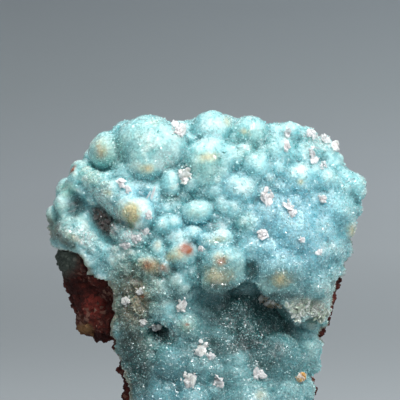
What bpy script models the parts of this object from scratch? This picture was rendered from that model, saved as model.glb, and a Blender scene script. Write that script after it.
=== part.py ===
"""Hemimorphite specimen: a lumpy blue-green crust over a piece of limonite rock, with pale crystals on it.

+Z is up, -Y is the crusted front, and the origin is the middle of the bounding box at the flat base.
Lengths are written in millimetres, as read from the specimen, and become metres when a mesh is made.
"""

import math

import bmesh
import bpy
import numpy as np
from mathutils import Matrix

MM = 0.001

# The smooth body that rock and crust both follow, as level rings from below the base to the top.
# Each ring is (left x, left z, right x, right z, front y, back y).
RINGS = [
    (-18.6, -8.0, 26.0, -8.0, -11.0, 13.0),
    (-18.6, 0.0, 26.0, 0.0, -11.5, 14.0),
    (-19.2, 10.0, 25.8, 10.0, -11.5, 15.0),
    (-20.0, 19.0, 26.2, 20.0, -11.0, 16.0),
    (-21.6, 26.5, 27.5, 28.0, -10.5, 17.0),
    (-30.3, 31.8, 31.0, 35.0, -11.0, 17.5),
    (-31.0, 40.0, 32.2, 43.0, -12.5, 17.5),
    (-35.5, 49.0, 35.2, 51.0, -13.0, 17.0),
    (-36.0, 58.0, 37.2, 58.0, -12.5, 16.5),
    (-34.5, 65.0, 38.4, 65.0, -11.5, 15.5),
    (-29.0, 72.0, 33.6, 71.5, -10.0, 14.0),
    (-25.2, 77.0, 29.8, 76.0, -8.0, 11.5),
    (-18.2, 80.0, 24.2, 79.3, -5.5, 8.5),
    (-9.0, 81.7, 15.0, 81.3, -2.5, 5.0),
    (1.0, 82.3, 3.0, 82.3, 0.6, 1.4),
]
SECTION_POWER = 2.6  # 2 is an ellipse; more is a rounder-cornered box

# Knobs of the crust: (x, z) in the front view, radius, how far the top stands above the crust around it,
# sideways stretch, and roll in degrees.
KNOBS = [
    # the big cluster at the top left
    (-13.8, 76.0, 7.9, 6.4, 1.0, 0),
    (-11.4, 77.6, 5.2, 5.9, 1.0, 0),
    (-14.6, 70.8, 3.2, 4.4, 1.0, 0),
    (-24.5, 75.0, 4.9, 4.9, 1.0, 0),
    (-19.7, 78.8, 3.8, 3.6, 1.0, 0),
    (-19.2, 68.7, 3.4, 2.9, 1.0, 0),
    (-16.2, 65.7, 3.0, 2.3, 1.0, 0),
    # the far left edge above the hook
    (-30.7, 70.0, 3.2, 2.2, 1.0, 0),
    (-33.0, 71.5, 2.4, 1.4, 1.0, 0),
    (-34.7, 65.2, 2.7, 2.0, 1.0, 0),
    (-29.2, 75.0, 2.2, 1.4, 1.0, 0),
    (-31.2, 67.0, 2.4, 1.8, 1.0, 0),
    # the broken ridge that runs down above the hollow
    (-29.8, 68.2, 2.8, 2.6, 1.2, -35),
    (-26.6, 66.6, 3.6, 3.4, 1.3, -36),
    (-22.8, 64.4, 4.4, 4.4, 1.3, -40),
    (-17.4, 60.0, 5.2, 5.2, 1.1, -50),
    (-19.6, 64.0, 3.4, 4.2, 1.0, 0),
    (-13.2, 61.2, 3.0, 2.6, 0.9, 0),
    # the hook below it
    (-38.0, 58.6, 2.6, 2.6, 0.9, 20),
    (-36.6, 55.6, 2.8, 2.6, 1.0, 0),
    (-32.7, 54.2, 3.0, 2.6, 1.1, -30),
    (-29.2, 52.0, 2.7, 2.4, 1.1, -30),
    (-26.7, 50.0, 2.4, 2.2, 1.0, 0),
    (-34.2, 52.2, 2.2, 1.6, 1.0, 0),
    # the frosted slope right of the hollow
    (-20.7, 54.5, 2.9, 1.8, 1.2, -30),
    (-17.2, 53.0, 3.0, 2.4, 1.3, 15),
    (-23.2, 48.7, 2.6, 1.6, 1.0, 0),
    (-18.7, 48.7, 2.6, 1.7, 1.2, 10),
    # the middle, with its lens-shaped knobs
    (-8.7, 66.5, 3.7, 3.2, 0.75, 0),
    (-9.0, 61.0, 2.0, 1.7, 1.0, 0),
    (-5.0, 63.5, 2.0, 1.3, 1.0, 0),
    (-9.5, 56.5, 2.6, 2.4, 1.45, 5),
    (-2.0, 59.5, 3.1, 2.9, 1.3, 15),
    (4.2, 61.2, 2.4, 2.0, 0.8, 0),
    (8.7, 65.0, 4.4, 3.5, 1.0, 0),
    (13.0, 70.7, 3.8, 3.3, 1.0, 0),
    (3.0, 66.5, 1.7, 1.6, 1.9, 38),
    (7.5, 61.2, 2.6, 1.9, 1.0, 0),
    # the top edge
    (1.7, 79.9, 5.2, 4.6, 1.0, 0),
    (1.7, 76.2, 2.8, 3.6, 1.3, 0),
    (0.0, 72.5, 5.2, 4.6, 1.0, 0),
    (6.0, 73.0, 3.8, 3.2, 1.0, 0),
    (0.2, 68.5, 3.3, 2.8, 1.0, 0),
    (11.2, 79.0, 4.8, 4.0, 1.0, 0),
    (9.7, 75.0, 2.6, 2.4, 1.0, 0),
    (-8.2, 80.9, 2.2, 1.2, 1.0, 0),
    (-4.5, 81.0, 2.2, 1.2, 1.0, 0),
    (-3.7, 77.5, 2.4, 1.8, 1.0, 0),
    # the top right
    (17.5, 79.2, 3.0, 2.2, 1.0, 0),
    (21.2, 79.0, 3.2, 2.4, 1.0, 0),
    (25.2, 77.8, 3.2, 2.4, 1.0, 0),
    (29.7, 76.0, 2.8, 2.0, 1.0, 0),
    (31.2, 75.0, 2.0, 1.6, 1.0, 0),
    (18.7, 74.5, 4.2, 3.0, 1.0, 0),
    (17.7, 70.7, 2.8, 2.3, 0.9, 0),
    (24.5, 73.7, 2.9, 2.2, 1.0, 0),
    (23.7, 67.2, 4.5, 3.3, 1.0, 0),
    (32.0, 71.5, 2.9, 2.0, 1.0, 0),
    (36.4, 66.0, 3.8, 2.6, 1.0, 0),
    (30.0, 67.5, 3.4, 2.4, 1.0, 0),
    (34.2, 68.2, 2.8, 2.2, 1.0, 0),
    (16.2, 68.0, 1.4, 1.9, 1.0, 0),
    (20.0, 65.0, 2.4, 1.4, 1.0, 0),
    # the swelling on the right
    (14.7, 59.2, 3.1, 2.4, 0.9, -20),
    (10.2, 57.0, 3.1, 2.5, 1.0, 25),
    (18.5, 59.5, 2.4, 1.9, 1.0, 0),
    (22.5, 54.5, 6.6, 4.6, 1.0, 0),
    (29.0, 55.5, 3.9, 3.2, 1.0, 0),
    (32.0, 60.0, 5.0, 3.0, 1.1, 0),
    (35.2, 56.2, 3.6, 2.4, 0.9, 0),
    (31.5, 50.5, 3.8, 3.0, 1.0, 0),
    (23.7, 59.7, 3.0, 2.2, 1.0, 0),
    (26.2, 62.7, 2.6, 1.7, 1.0, 0),
    (26.2, 48.7, 4.6, 4.2, 1.0, 0),
    (19.2, 44.7, 6.0, 5.6, 1.0, 0),
    (20.2, 40.7, 4.2, 4.6, 1.1, 0),
    (27.2, 41.6, 4.4, 4.4, 1.15, 0),
    (30.4, 44.8, 3.4, 3.0, 1.0, 0),
    (15.7, 50.2, 3.0, 2.8, 1.0, 0),
    (11.2, 51.2, 3.0, 2.2, 1.0, 0),
    (14.2, 47.2, 2.4, 2.2, 1.0, 0),
    # the bright bench across the middle and the knobs that hang from it
    (-6.2, 53.0, 3.1, 3.2, 1.4, 0),
    (2.0, 52.5, 2.8, 3.2, 1.6, 0),
    (4.7, 55.5, 2.7, 2.4, 1.0, 0),
    (-5.5, 49.2, 3.8, 4.4, 1.0, 0),
    (-12.0, 50.5, 2.4, 2.4, 0.8, 0),
    (-14.2, 46.7, 3.0, 2.8, 1.0, 0),
    (-10.7, 46.0, 2.5, 2.8, 1.0, 0),
    (-4.5, 45.5, 2.5, 2.6, 1.0, 0),
    (4.2, 45.2, 5.9, 5.8, 1.0, 0),
    (-0.8, 49.2, 1.6, 2.8, 1.0, 0),
    (7.6, 48.0, 2.6, 3.2, 1.0, 0),
    # the lower left slope
    (-5.7, 41.0, 3.4, 2.2, 1.0, 0),
    (-10.5, 40.7, 3.1, 1.8, 1.0, 0),
    (-14.2, 40.0, 2.4, 1.4, 1.0, 0),
    (-19.7, 41.5, 2.6, 1.3, 1.0, 0),
    (-22.0, 46.0, 2.4, 1.2, 1.0, 0),
    (-19.7, 36.7, 2.6, 1.3, 1.0, 0),
    (-10.7, 36.2, 3.1, 1.6, 1.2, 0),
    (-16.2, 34.5, 2.1, 1.0, 1.0, 0),
    (-4.5, 31.2, 3.7, 3.2, 1.0, 0),
    # the cream lip over the small dark hole
    (-14.0, 32.2, 1.5, 1.6, 1.0, 0),
    (-12.2, 31.5, 1.7, 2.0, 1.0, 0),
    (-10.5, 30.6, 1.6, 2.2, 1.0, 0),
    (-8.6, 28.2, 1.4, 1.8, 1.0, 0),
    (-16.0, 30.0, 2.1, 1.0, 1.0, 0),
    (-19.2, 27.5, 2.4, 1.0, 1.0, 0),
    # the lower field, from the bowl down to the base
    (0.7, 32.0, 3.0, 1.2, 1.0, 0),
    (5.0, 30.5, 3.6, 1.2, 1.0, 0),
    (6.2, 26.2, 4.0, 1.7, 1.0, 0),
    (14.2, 30.0, 4.6, 0.9, 1.2, 0),
    (25.0, 35.2, 2.6, 1.5, 1.5, -8),
    (21.7, 34.0, 2.1, 1.3, 1.2, 20),
    (24.5, 28.7, 3.0, 1.1, 1.0, 0),
    (26.2, 24.5, 3.4, 1.8, 0.8, 0),
    (18.7, 23.0, 6.8, 2.4, 1.0, 0),
    (-14.2, 22.5, 3.7, 1.9, 0.9, 0),
    (-8.2, 22.0, 4.5, 2.6, 1.0, 0),
    (0.0, 20.5, 3.6, 1.9, 1.0, 0),
    (7.7, 19.0, 4.0, 2.1, 1.0, 0),
    (10.5, 12.7, 6.2, 3.8, 1.0, 0),
    (20.0, 13.7, 4.0, 1.8, 1.0, 0),
    (25.0, 15.0, 3.0, 1.5, 0.9, 0),
    (-3.2, 12.0, 3.8, 2.2, 1.0, 0),
    (-10.0, 13.5, 4.0, 2.4, 1.0, 0),
    (-14.7, 14.5, 2.8, 1.4, 0.9, 0),
    (-12.0, 5.5, 3.6, 1.9, 1.0, 0),
    (-4.0, 3.7, 4.2, 2.3, 1.0, 0),
    (4.0, 4.0, 3.4, 1.8, 1.0, 0),
    (14.0, 3.5, 4.2, 2.2, 1.0, 0),
    (21.5, 5.0, 3.8, 1.9, 1.0, 0),
]

# Dents in the crust's own level: (x, z, half width, half height, roll in degrees, depth).
DENTS = [
    (-32.3, 61.2, 2.6, 3.6, 0, 3.0),
    (-11.4, 28.6, 3.0, 1.9, -15, 6.0),
    (11.6, 45.2, 2.2, 3.0, 0, 3.0),
    (-4.0, 63.5, 7.0, 3.0, -10, 1.6),
    (2.0, 56.0, 8.0, 2.2, -5, 1.5),
    (28.0, 73.0, 3.0, 2.2, -30, 1.4),
    (-26.0, 71.0, 4.5, 2.0, -30, 1.8),
    (-26.0, 57.2, 8.2, 4.0, -54, 5.0),
]

# The overhang: the line that the hanging knobs follow, as (x, z), and the bowl below it.
LEDGE = [(-6, 40.5), (-1.5, 41), (1, 40), (4.2, 39.6), (7.5, 41), (10, 44), (12.4, 43.6), (14.4, 40)]
LEDGE += [(17, 37.6), (20, 36.7), (25, 37.2), (33, 38.5)]
BOWL_DEPTH = 8.0
BOWL_MIDDLE_X = 14.0
BOWL_HALF_WIDTH = 17.0
BOWL_REACH = 19.0  # how far below the ledge the bowl fades out

# Where the crust ends on the left, as (z, x), and how far it wraps back over the sides and the top.
LEFT_EDGE = [(0, -16), (12.5, -18), (16, -17.5), (20, -18.8), (25, -21.3), (27.5, -21.8), (32.5, -23.2)]
LEFT_EDGE += [(35, -21.8), (40, -22.5), (43, -23.3), (44, -27.5), (47, -28.8), (49.5, -30), (50.5, -34)]
LEFT_EDGE += [(52, -55)]
WRAP_LOW = 0.5
WRAP_HIGH = 7.5
CRUST_THICKNESS = 3.0
GROUND = 0.3  # how high the crust stands above its own level between the knobs, below the top edge
CREASE = 0.6  # how far apart two knobs' heights may be where the crease between them starts to fill
EDGE_SLOPE = 2.5  # how steeply the crust breaks off at its rim
DIVE = 2.5  # how deep the unused part of the crust's surface lies inside the rock
GAP = 0.3

# Where the rock stands out past the crust, left and right: (x, z, half width, half height, how far).
OUTCROPS = [(-35.5, 46.5, 7.0, 6.0, 1.8), (36.0, 50.0, 4.0, 4.0, 1.6)]
ROCK_CHIPS = [(8.0, 3.4), (3.4, 1.2)]  # size of the broken faces and how far they stand out
FACET_TILT = 2.2
FACET_DOME = 1.1
PLAIN_LEVEL = -3.3  # the bare rock's own level below the smooth body

# Pale crystals, flat blades with a wedge end: (x, z) in the front view, width, length,
# roll from upright, and lean out of the crust, in degrees.
BLADES = [
    (-5.0, 67.2, 2.4, 5.0, 8, 20),
    (-6.2, 68.6, 1.6, 3.4, -30, 45),
    (-7.3, 79.4, 3.4, 3.6, -12, 25),
    (-14.0, 63.4, 2.0, 3.8, -20, 35),
    (-12.8, 64.4, 1.4, 2.8, 40, 30),
    (-21.0, 66.4, 1.3, 4.2, -38, 15),
    (15.2, 62.8, 2.0, 4.2, 5, 30),
    (20.8, 59.6, 2.2, 4.4, 28, 20),
    (14.2, 53.4, 3.0, 2.6, 60, 30),
    (29.5, 62.6, 1.5, 2.2, 0, 40),
    (26.8, 74.0, 1.2, 4.4, -40, 20),
    (29.0, 72.0, 1.2, 3.4, 30, 20),
    (20.5, 78.0, 1.4, 5.0, 5, 20),
    (-5.8, 35.6, 2.4, 3.8, 15, 30),
    (-7.0, 36.4, 1.6, 2.6, -50, 25),
    (-0.7, 25.0, 2.6, 4.6, -25, 30),
    (0.6, 26.4, 1.8, 3.0, 35, 40),
    (-3.7, 17.6, 3.2, 4.2, 0, 30),
    (3.2, 17.4, 2.8, 3.2, 20, 35),
    (13.2, 19.0, 2.4, 3.0, -15, 40),
    (24.2, 52.6, 1.6, 2.0, 10, 40),
    (28.2, 49.0, 1.4, 2.0, 70, 30),
    (-1.0, 50.2, 1.6, 2.4, -10, 40),
    (23.5, 17.6, 2.6, 2.2, 10, 45),
    (-14.2, 58.8, 1.8, 1.8, 30, 40),
    (15.0, 37.6, 1.6, 4.2, 75, 20),
    (24.0, 34.6, 2.2, 3.6, 60, 30),
    (27.6, 34.0, 2.0, 3.4, 100, 35),
    (21.6, 33.2, 1.8, 3.0, 30, 30),
    (30.0, 36.6, 1.6, 2.8, 20, 25),
    (-20.6, 53.2, 1.4, 4.4, 50, 20),
    (-17.6, 51.2, 1.4, 4.0, 40, 25),
    (-22.4, 55.4, 1.4, 3.6, 55, 20),
]
BLADE_THICKNESS = 0.55  # as a share of the width
# Each blade's levels: (place along its length, share of the width, whether it is a full section there).
BLADE_LEVELS = [(-0.35, 1.0, True), (0.45, 1.0, True), (0.65, 0.55, False)]
BLADE_SECTION = [(0.5, 0.0), (0.3, 0.5), (-0.3, 0.5), (-0.5, 0.0), (-0.3, -0.5), (0.3, -0.5)]
BLADE_RIDGE = [(0.5, 0.0), (-0.5, 0.0)]
SMALL_BLADES = 30
SMALL_BLADE_LENGTH = (1.6, 2.8)
SMALL_BLADE_LEAN = (0.5, 1.2)  # in radians
# Small blades stand in the creases: this far inside the rim, no higher on the crust, and above the base.
CREASE_INSIDE = 1.2
CREASE_HEIGHT = 2.2
CREASE_LEVEL = 2.0

SIDE_KNOBS = 90
SIDE_KNOB_RADIUS = (1.7, 3.6)
SIDE_KNOB_SUNK = 0.6  # how deep the knob's middle lies, as a share of its radius
# A spot belongs to the front below the first value of its normal's Y, and to the sides above the second.
FRONT_BEFORE = 0.25
SIDES_AFTER = -0.45
SEED = 12

CURVE_STEPS = 2000  # for measuring along a curve
SEARCH_STEPS = (360, 240)  # around and up, for finding the spot behind an (x, z) of the front view
RING_STEPS = 250
LEVEL_STEPS = 120
CRUST_TRIANGLES = 6100
ROCK_TRIANGLES = 2100


def smooth_step(low, high, value):
    """0 below the low value and 1 above the high one, with a soft rise between them."""
    share = np.clip((value - low) / (high - low), 0, 1)
    return share * share * (3 - 2 * share)


def lattice(ix, iy, iz, seed):
    """A repeatable random number from 0 to 1 for each whole-number corner."""
    mixed = (ix * 73856093) ^ (iy * 19349663) ^ (iz * 83492791) ^ (seed * 2654435761)
    mixed = (mixed ^ (mixed >> 13)) * 1274126177 & 0xFFFFFFFF
    return ((mixed ^ (mixed >> 16)) & 0xFFFFFF) / 0xFFFFFF


def facets(points, size, seed):
    """Broken-rock relief, about -1 to 1: the outermost of the tilted, domed faces of scattered chips."""
    cell = np.floor(points / size).astype(np.int64)
    height = np.full(points.shape[:-1], -9.0)
    for step in np.ndindex(3, 3, 3):
        corner = cell + np.array(step) - 1
        draw = [lattice(corner[..., 0], corner[..., 1], corner[..., 2], seed + n) for n in range(6)]
        middle = (corner + np.stack(draw[:3], axis=-1)) * size
        away = (points - middle) / size
        tilted = (away * (np.stack(draw[3:], axis=-1) - 0.5)).sum(axis=-1) * FACET_TILT
        height = np.maximum(height, tilted + draw[3] - FACET_DOME * (away**2).sum(axis=-1))
    return height


def ring_values(level):
    """The ring at each level from 0 to 1, on a smooth curve through the listed rings."""
    rings = np.array(RINGS)
    along = np.clip(level, 0, 1) * (len(rings) - 1)
    first = np.minimum(along.astype(int), len(rings) - 2)
    t = (along - first)[..., None]
    before, after = np.maximum(first - 1, 0), np.minimum(first + 2, len(rings) - 1)
    a, b, c, d = rings[before], rings[first], rings[first + 1], rings[after]
    return 0.5 * (2 * b + (c - a) * t + (2 * a - 5 * b + 4 * c - d) * t**2 + (3 * b - a - 3 * c + d) * t**3)


def body(angle, level):
    """The smooth body: a rounded section at each level. Angle 0 faces the front and turns to the right."""
    left_x, left_z, right_x, right_z, front, back = np.moveaxis(ring_values(level), -1, 0)
    half_width, half_depth = (right_x - left_x) / 2, (back - front) / 2
    sine, cosine = np.sin(angle), np.cos(angle)
    reach = np.abs(sine / half_width) ** SECTION_POWER + np.abs(cosine / half_depth) ** SECTION_POWER
    reach = reach ** (-1 / SECTION_POWER)
    x = (left_x + right_x) / 2 + reach * sine
    share = np.clip((x - left_x) / (right_x - left_x), 0, 1)
    return np.stack([x, (front + back) / 2 - reach * cosine, left_z + (right_z - left_z) * share], axis=-1)


def outward(angle, level):
    """The smooth body's unit normal."""
    turn, rise = 1e-3, 1e-3
    round_it = body(angle + turn, level) - body(angle - turn, level)
    up_it = body(angle, np.minimum(level + rise, 1)) - body(angle, level - rise)
    normal = np.cross(round_it, up_it)
    return normal / np.linalg.norm(normal, axis=-1, keepdims=True)


def even_grid(around, up):
    """Angles and levels whose points lie evenly over the body."""
    angle = np.linspace(-math.pi, math.pi, CURVE_STEPS)
    middle = body(angle, np.full_like(angle, 0.5))
    run = np.concatenate([[0], np.cumsum(np.linalg.norm(np.diff(middle, axis=0), axis=-1))])
    level = np.linspace(0, 1, CURVE_STEPS)
    front = body(np.zeros_like(level), level)
    rise = np.concatenate([[0], np.cumsum(np.linalg.norm(np.diff(front, axis=0), axis=-1))])
    angles = np.interp(np.linspace(0, run[-1], around + 1)[:-1], run, angle)
    levels = np.interp(np.linspace(0, rise[-1], up), rise, level)
    return np.meshgrid(angles, levels)


def dent(x, z, middle_x, middle_z, half_width, half_height, roll):
    """0 at the middle of a tilted oval and 1 on its edge."""
    turn = math.radians(roll)
    across = (x - middle_x) * math.cos(turn) + (z - middle_z) * math.sin(turn)
    along = (z - middle_z) * math.cos(turn) - (x - middle_x) * math.sin(turn)
    return np.hypot(across / half_width, along / half_height)


def relief(place, normal):
    """The crust's own level above the smooth body: the bowl under the ledge, and the dents."""
    x, z = place[..., 0], place[..., 2]
    below = np.interp(x, *zip(*LEDGE)) - z
    bowl = smooth_step(-0.6, 1.6, below) * (1 - smooth_step(2.0, BOWL_REACH, below))
    level = -BOWL_DEPTH * bowl * np.exp(-(((x - BOWL_MIDDLE_X) / BOWL_HALF_WIDTH) ** 4))
    for *oval, depth in DENTS:
        level = level - depth * (1 - smooth_step(0.35, 1.1, dent(x, z, *oval)))
    return level * smooth_step(0.1, 0.6, -normal[..., 1])


def cover(place):
    """How far inside the crust's rim a spot lies: above 0 it is covered, and below 0 it is bare rock."""
    x, y, z = place[..., 0], place[..., 1], place[..., 2]
    wander = 0.9 * np.sin(z / 2.3) + 0.7 * np.sin(z / 1.1 + x / 3) + 0.8 * np.sin(x / 3.1 + 1)
    back = WRAP_LOW + (WRAP_HIGH - WRAP_LOW) * smooth_step(55, 64, z) - y + wander
    left = x - np.interp(z, *zip(*LEFT_EDGE)) + 0.4 * np.sin(z * 1.7)
    return np.minimum(back, left)


def knob_rows():
    """Every knob as (middle, radius, stretch, roll): the front's as listed, then those of the sides."""
    angle, level = even_grid(*SEARCH_STEPS)
    place, normal = body(angle, level), outward(angle, level)
    front = normal[..., 1] < FRONT_BEFORE
    rows = []
    for x, z, radius, stand, stretch, roll in KNOBS:
        away = np.where(front, np.hypot(place[..., 0] - x, place[..., 2] - z), 1e9)
        spot = np.unravel_index(away.argmin(), away.shape)
        base = relief(place[spot], normal[spot]) + stand - radius
        middle = np.array([x, place[spot][1] + normal[spot][1] * base, z])
        rows.append((middle, radius, stretch, roll))
    draw = np.random.default_rng(SEED)
    while len(rows) < len(KNOBS) + SIDE_KNOBS:
        spot = draw.integers(angle.shape[0]), draw.integers(angle.shape[1])
        radius = draw.uniform(*SIDE_KNOB_RADIUS)
        if cover(place[spot]) > 0 and normal[spot][1] > SIDES_AFTER:
            middle = place[spot] - normal[spot] * SIDE_KNOB_SUNK * radius
            rows.append((middle, radius, 1.0, 0))
    return rows


def knob_height(place, normal, rows):
    """How far out each normal meets the outermost knob, with the creases slightly filled."""
    height = relief(place, normal) + GROUND * (1 - smooth_step(74, 80, place[..., 2]))
    for middle, radius, stretch, roll in rows:
        turn = math.radians(roll)
        across = np.array([math.cos(turn), 0, math.sin(turn)]) / (radius * stretch)
        along = np.array([-math.sin(turn), 0, math.cos(turn)]) / radius
        squeeze = np.stack([across, [0, 1 / radius, 0], along])
        start, way = (place - middle) @ squeeze.T, normal @ squeeze.T
        a, b, c = (way**2).sum(-1), (start * way).sum(-1), (start**2).sum(-1) - 1
        inside = b * b - a * c
        top = np.where(inside > 0, (np.sqrt(np.maximum(inside, 0)) - b) / a, -99.0)
        mix = np.maximum(CREASE - np.abs(height - top), 0) / CREASE
        height = np.maximum(height, top) + mix * mix * CREASE / 4
    return height


def crust_height(place, normal, rows):
    """The crust's outside above the smooth body. Past its rim it breaks off and runs on inside the rock."""
    rim = np.maximum(EDGE_SLOPE * (cover(place) + 0.3), rock_height(place, normal) - DIVE)
    return np.minimum(knob_height(place, normal, rows), rim)


def rock_height(place, normal):
    """The rock's outside: sunk evenly under the crust, and broken and rough where it is bare."""
    inside = cover(place)
    x, z = place[..., 0], place[..., 2]
    bulge = sum(far * (1 - smooth_step(0.3, 1.3, dent(x, z, *oval, 0))) for *oval, far in OUTCROPS)
    rough = sum(stand * facets(place, size, SEED) for size, stand in ROCK_CHIPS)
    swell = 1.6 * np.sin(x / 9 + 1) * np.sin(z / 12 + 0.5) + np.sin(x / 6 - z / 8)
    bare = PLAIN_LEVEL + rough + bulge + swell * smooth_step(0, 1, normal[..., 1])
    buried = np.minimum(relief(place, normal), 0) - CRUST_THICKNESS
    return buried + (np.minimum(bare, 4) - buried) * smooth_step(0.0, 3.0, -inside)


def closed_surface(points):
    """A mesh through a grid of points in millimetres, closed at both ends."""
    up, around, _ = points.shape
    index = np.arange(up * around).reshape(up, around)
    beside = np.roll(index, -1, axis=1)
    quads = np.stack([index[:-1], beside[:-1], beside[1:], index[1:]], axis=-1).reshape(-1, 4)
    mesh = bpy.data.meshes.new("surface")
    mesh.from_pydata((points.reshape(-1, 3) * MM).tolist(), [], quads.tolist())
    with_bmesh(mesh, close)
    return add_object("surface", mesh)


def with_bmesh(mesh, change):
    """Makes one change to a mesh in bmesh."""
    shape = bmesh.new()
    shape.from_mesh(mesh)
    change(shape)
    shape.to_mesh(mesh)
    shape.free()
    mesh.update()


def close(shape):
    """Fills what is open and turns every face outwards."""
    bmesh.ops.holes_fill(shape, edges=[edge for edge in shape.edges if edge.is_boundary])
    bmesh.ops.triangulate(shape, faces=shape.faces)
    bmesh.ops.recalc_face_normals(shape, faces=shape.faces)


def cut_flat(shape):
    """Cuts off all that lies below the base."""
    everything = shape.verts[:] + shape.edges[:] + shape.faces[:]
    bmesh.ops.bisect_plane(shape, geom=everything, plane_co=(0, 0, 0), plane_no=(0, 0, -1), clear_outer=True)
    close(shape)


def keep_largest(shape):
    """Drops the crumbs that a cut leaves and keeps the one main body."""
    left, bodies = set(shape.verts), []
    while left:
        found, reached = set(), [left.pop()]
        while reached:
            corner = reached.pop()
            found.add(corner)
            beside = {edge.other_vert(corner) for edge in corner.link_edges} & left
            left -= beside
            reached.extend(beside)
        bodies.append(found)
    main_body = max(bodies, key=len)
    crumbs = [corner for corner in shape.verts if corner not in main_body]
    bmesh.ops.delete(shape, geom=crumbs, context="VERTS")


def grow(shape):
    """Moves every corner outwards by the gap."""
    shape.normal_update()
    for corner in shape.verts:
        corner.co += corner.normal * GAP * MM


def blade(middle, along, across, out, width, length):
    """The corners of one flat six-sided crystal, of which a third is bedded in the crust."""
    corners = []
    for rise, share, full in BLADE_LEVELS:
        for u, v in BLADE_SECTION if full else BLADE_RIDGE:
            sideways = across * u * share * width + out * v * width * BLADE_THICKNESS
            corners.append(middle + along * rise * length + sideways)
    return corners


def blade_rows(place, normal, height):
    """Where each blade stands: those listed, then small ones in the creases of the front."""
    surface = place + normal * height[..., None]
    front = normal[..., 1] < FRONT_BEFORE
    rows = []
    for x, z, width, length, roll, lean in BLADES:
        away = np.where(front, np.hypot(surface[..., 0] - x, surface[..., 2] - z), 1e9)
        spot = np.unravel_index(away.argmin(), away.shape)
        rows.append((surface[spot], math.radians(roll), math.radians(lean), width, length))
    draw = np.random.default_rng(SEED)
    inside = cover(place)
    while len(rows) < len(BLADES) + SMALL_BLADES:
        spot = draw.integers(1, place.shape[0]), draw.integers(place.shape[1])
        in_a_crease = inside[spot] > CREASE_INSIDE and height[spot] < CREASE_HEIGHT
        if front[spot] and in_a_crease and surface[spot][2] > CREASE_LEVEL:
            roll, lean = draw.uniform(0, 2 * math.pi), draw.uniform(*SMALL_BLADE_LEAN)
            length = draw.uniform(*SMALL_BLADE_LENGTH)
            rows.append((surface[spot], roll, lean, 0.5 * length, length))
    return rows


def make_blades(rows):
    """All the blades in one mesh."""
    mesh = bpy.data.meshes.new("blades")
    shape = bmesh.new()
    for middle, roll, lean, width, length in rows:
        along = np.array([math.sin(roll) * math.cos(lean), -math.sin(lean), math.cos(roll) * math.cos(lean)])
        across = np.array([math.cos(roll), 0, -math.sin(roll)])
        out = np.cross(along, across)
        corners = [shape.verts.new(co * MM) for co in blade(middle, along, across, out, width, length)]
        bmesh.ops.convex_hull(shape, input=corners)
    close(shape)
    shape.to_mesh(mesh)
    shape.free()
    return add_object("blades", mesh)


def add_object(name, mesh):
    """Puts a mesh into the scene as an object."""
    thing = bpy.data.objects.new(name, mesh)
    bpy.context.scene.collection.objects.link(thing)
    return thing


def finish(thing, name, colour, roughness):
    """Names a finished piece and gives it its material."""
    thing.name = thing.data.name = name
    material = bpy.data.materials.new(name)
    material.use_nodes = True
    shader = material.node_tree.nodes["Principled BSDF"]
    shader.inputs["Base Color"].default_value = (*colour, 1)
    shader.inputs["Roughness"].default_value = roughness
    thing.data.materials.clear()
    thing.data.materials.append(material)


def apply_modifiers(thing):
    """Turns what the modifiers make into the object's own mesh."""
    graph = bpy.context.evaluated_depsgraph_get()
    mesh = bpy.data.meshes.new_from_object(thing.evaluated_get(graph))
    thing.modifiers.clear()
    thing.data = mesh


def thin_out(thing, triangles):
    """Fewer triangles, kept where the surface bends most."""
    modifier = thing.modifiers.new("thin_out", "DECIMATE")
    modifier.ratio = triangles / len(thing.data.polygons)
    apply_modifiers(thing)


def combine(thing, other, operation):
    """Joins another body to this one or cuts it away, and drops the other."""
    modifier = thing.modifiers.new("combine", "BOOLEAN")
    modifier.solver = "EXACT"
    modifier.use_self = True
    modifier.operation = operation
    modifier.object = other
    apply_modifiers(thing)
    bpy.data.objects.remove(other)


def main():
    for thing in list(bpy.data.objects):
        bpy.data.objects.remove(thing)
    angle, level = even_grid(RING_STEPS, LEVEL_STEPS)
    place, normal = body(angle, level), outward(angle, level)
    knobs = knob_rows()

    rock = closed_surface(place + normal * rock_height(place, normal)[..., None])
    thin_out(rock, ROCK_TRIANGLES)

    height = crust_height(place, normal, knobs)
    crust = closed_surface(place + normal * height[..., None])
    thin_out(crust, CRUST_TRIANGLES)
    combine(crust, make_blades(blade_rows(place, normal, height)), "UNION")
    grown_rock = add_object("grown_rock", rock.data.copy())
    with_bmesh(grown_rock.data, grow)
    combine(crust, grown_rock, "DIFFERENCE")
    with_bmesh(crust.data, keep_largest)

    pieces = [rock, crust]
    for piece in pieces:
        with_bmesh(piece.data, cut_flat)
    corners = np.array([corner.co for piece in pieces for corner in piece.data.vertices])
    middle = (corners.min(axis=0) + corners.max(axis=0)) / 2
    for piece in pieces:
        piece.data.transform(Matrix.Translation((-middle[0], -middle[1], 0)))
    finish(rock, "limonite_matrix", (0.17, 0.07, 0.045), 0.9)
    finish(crust, "hemimorphite_crust", (0.42, 0.66, 0.67), 0.35)


main()
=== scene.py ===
import math

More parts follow.
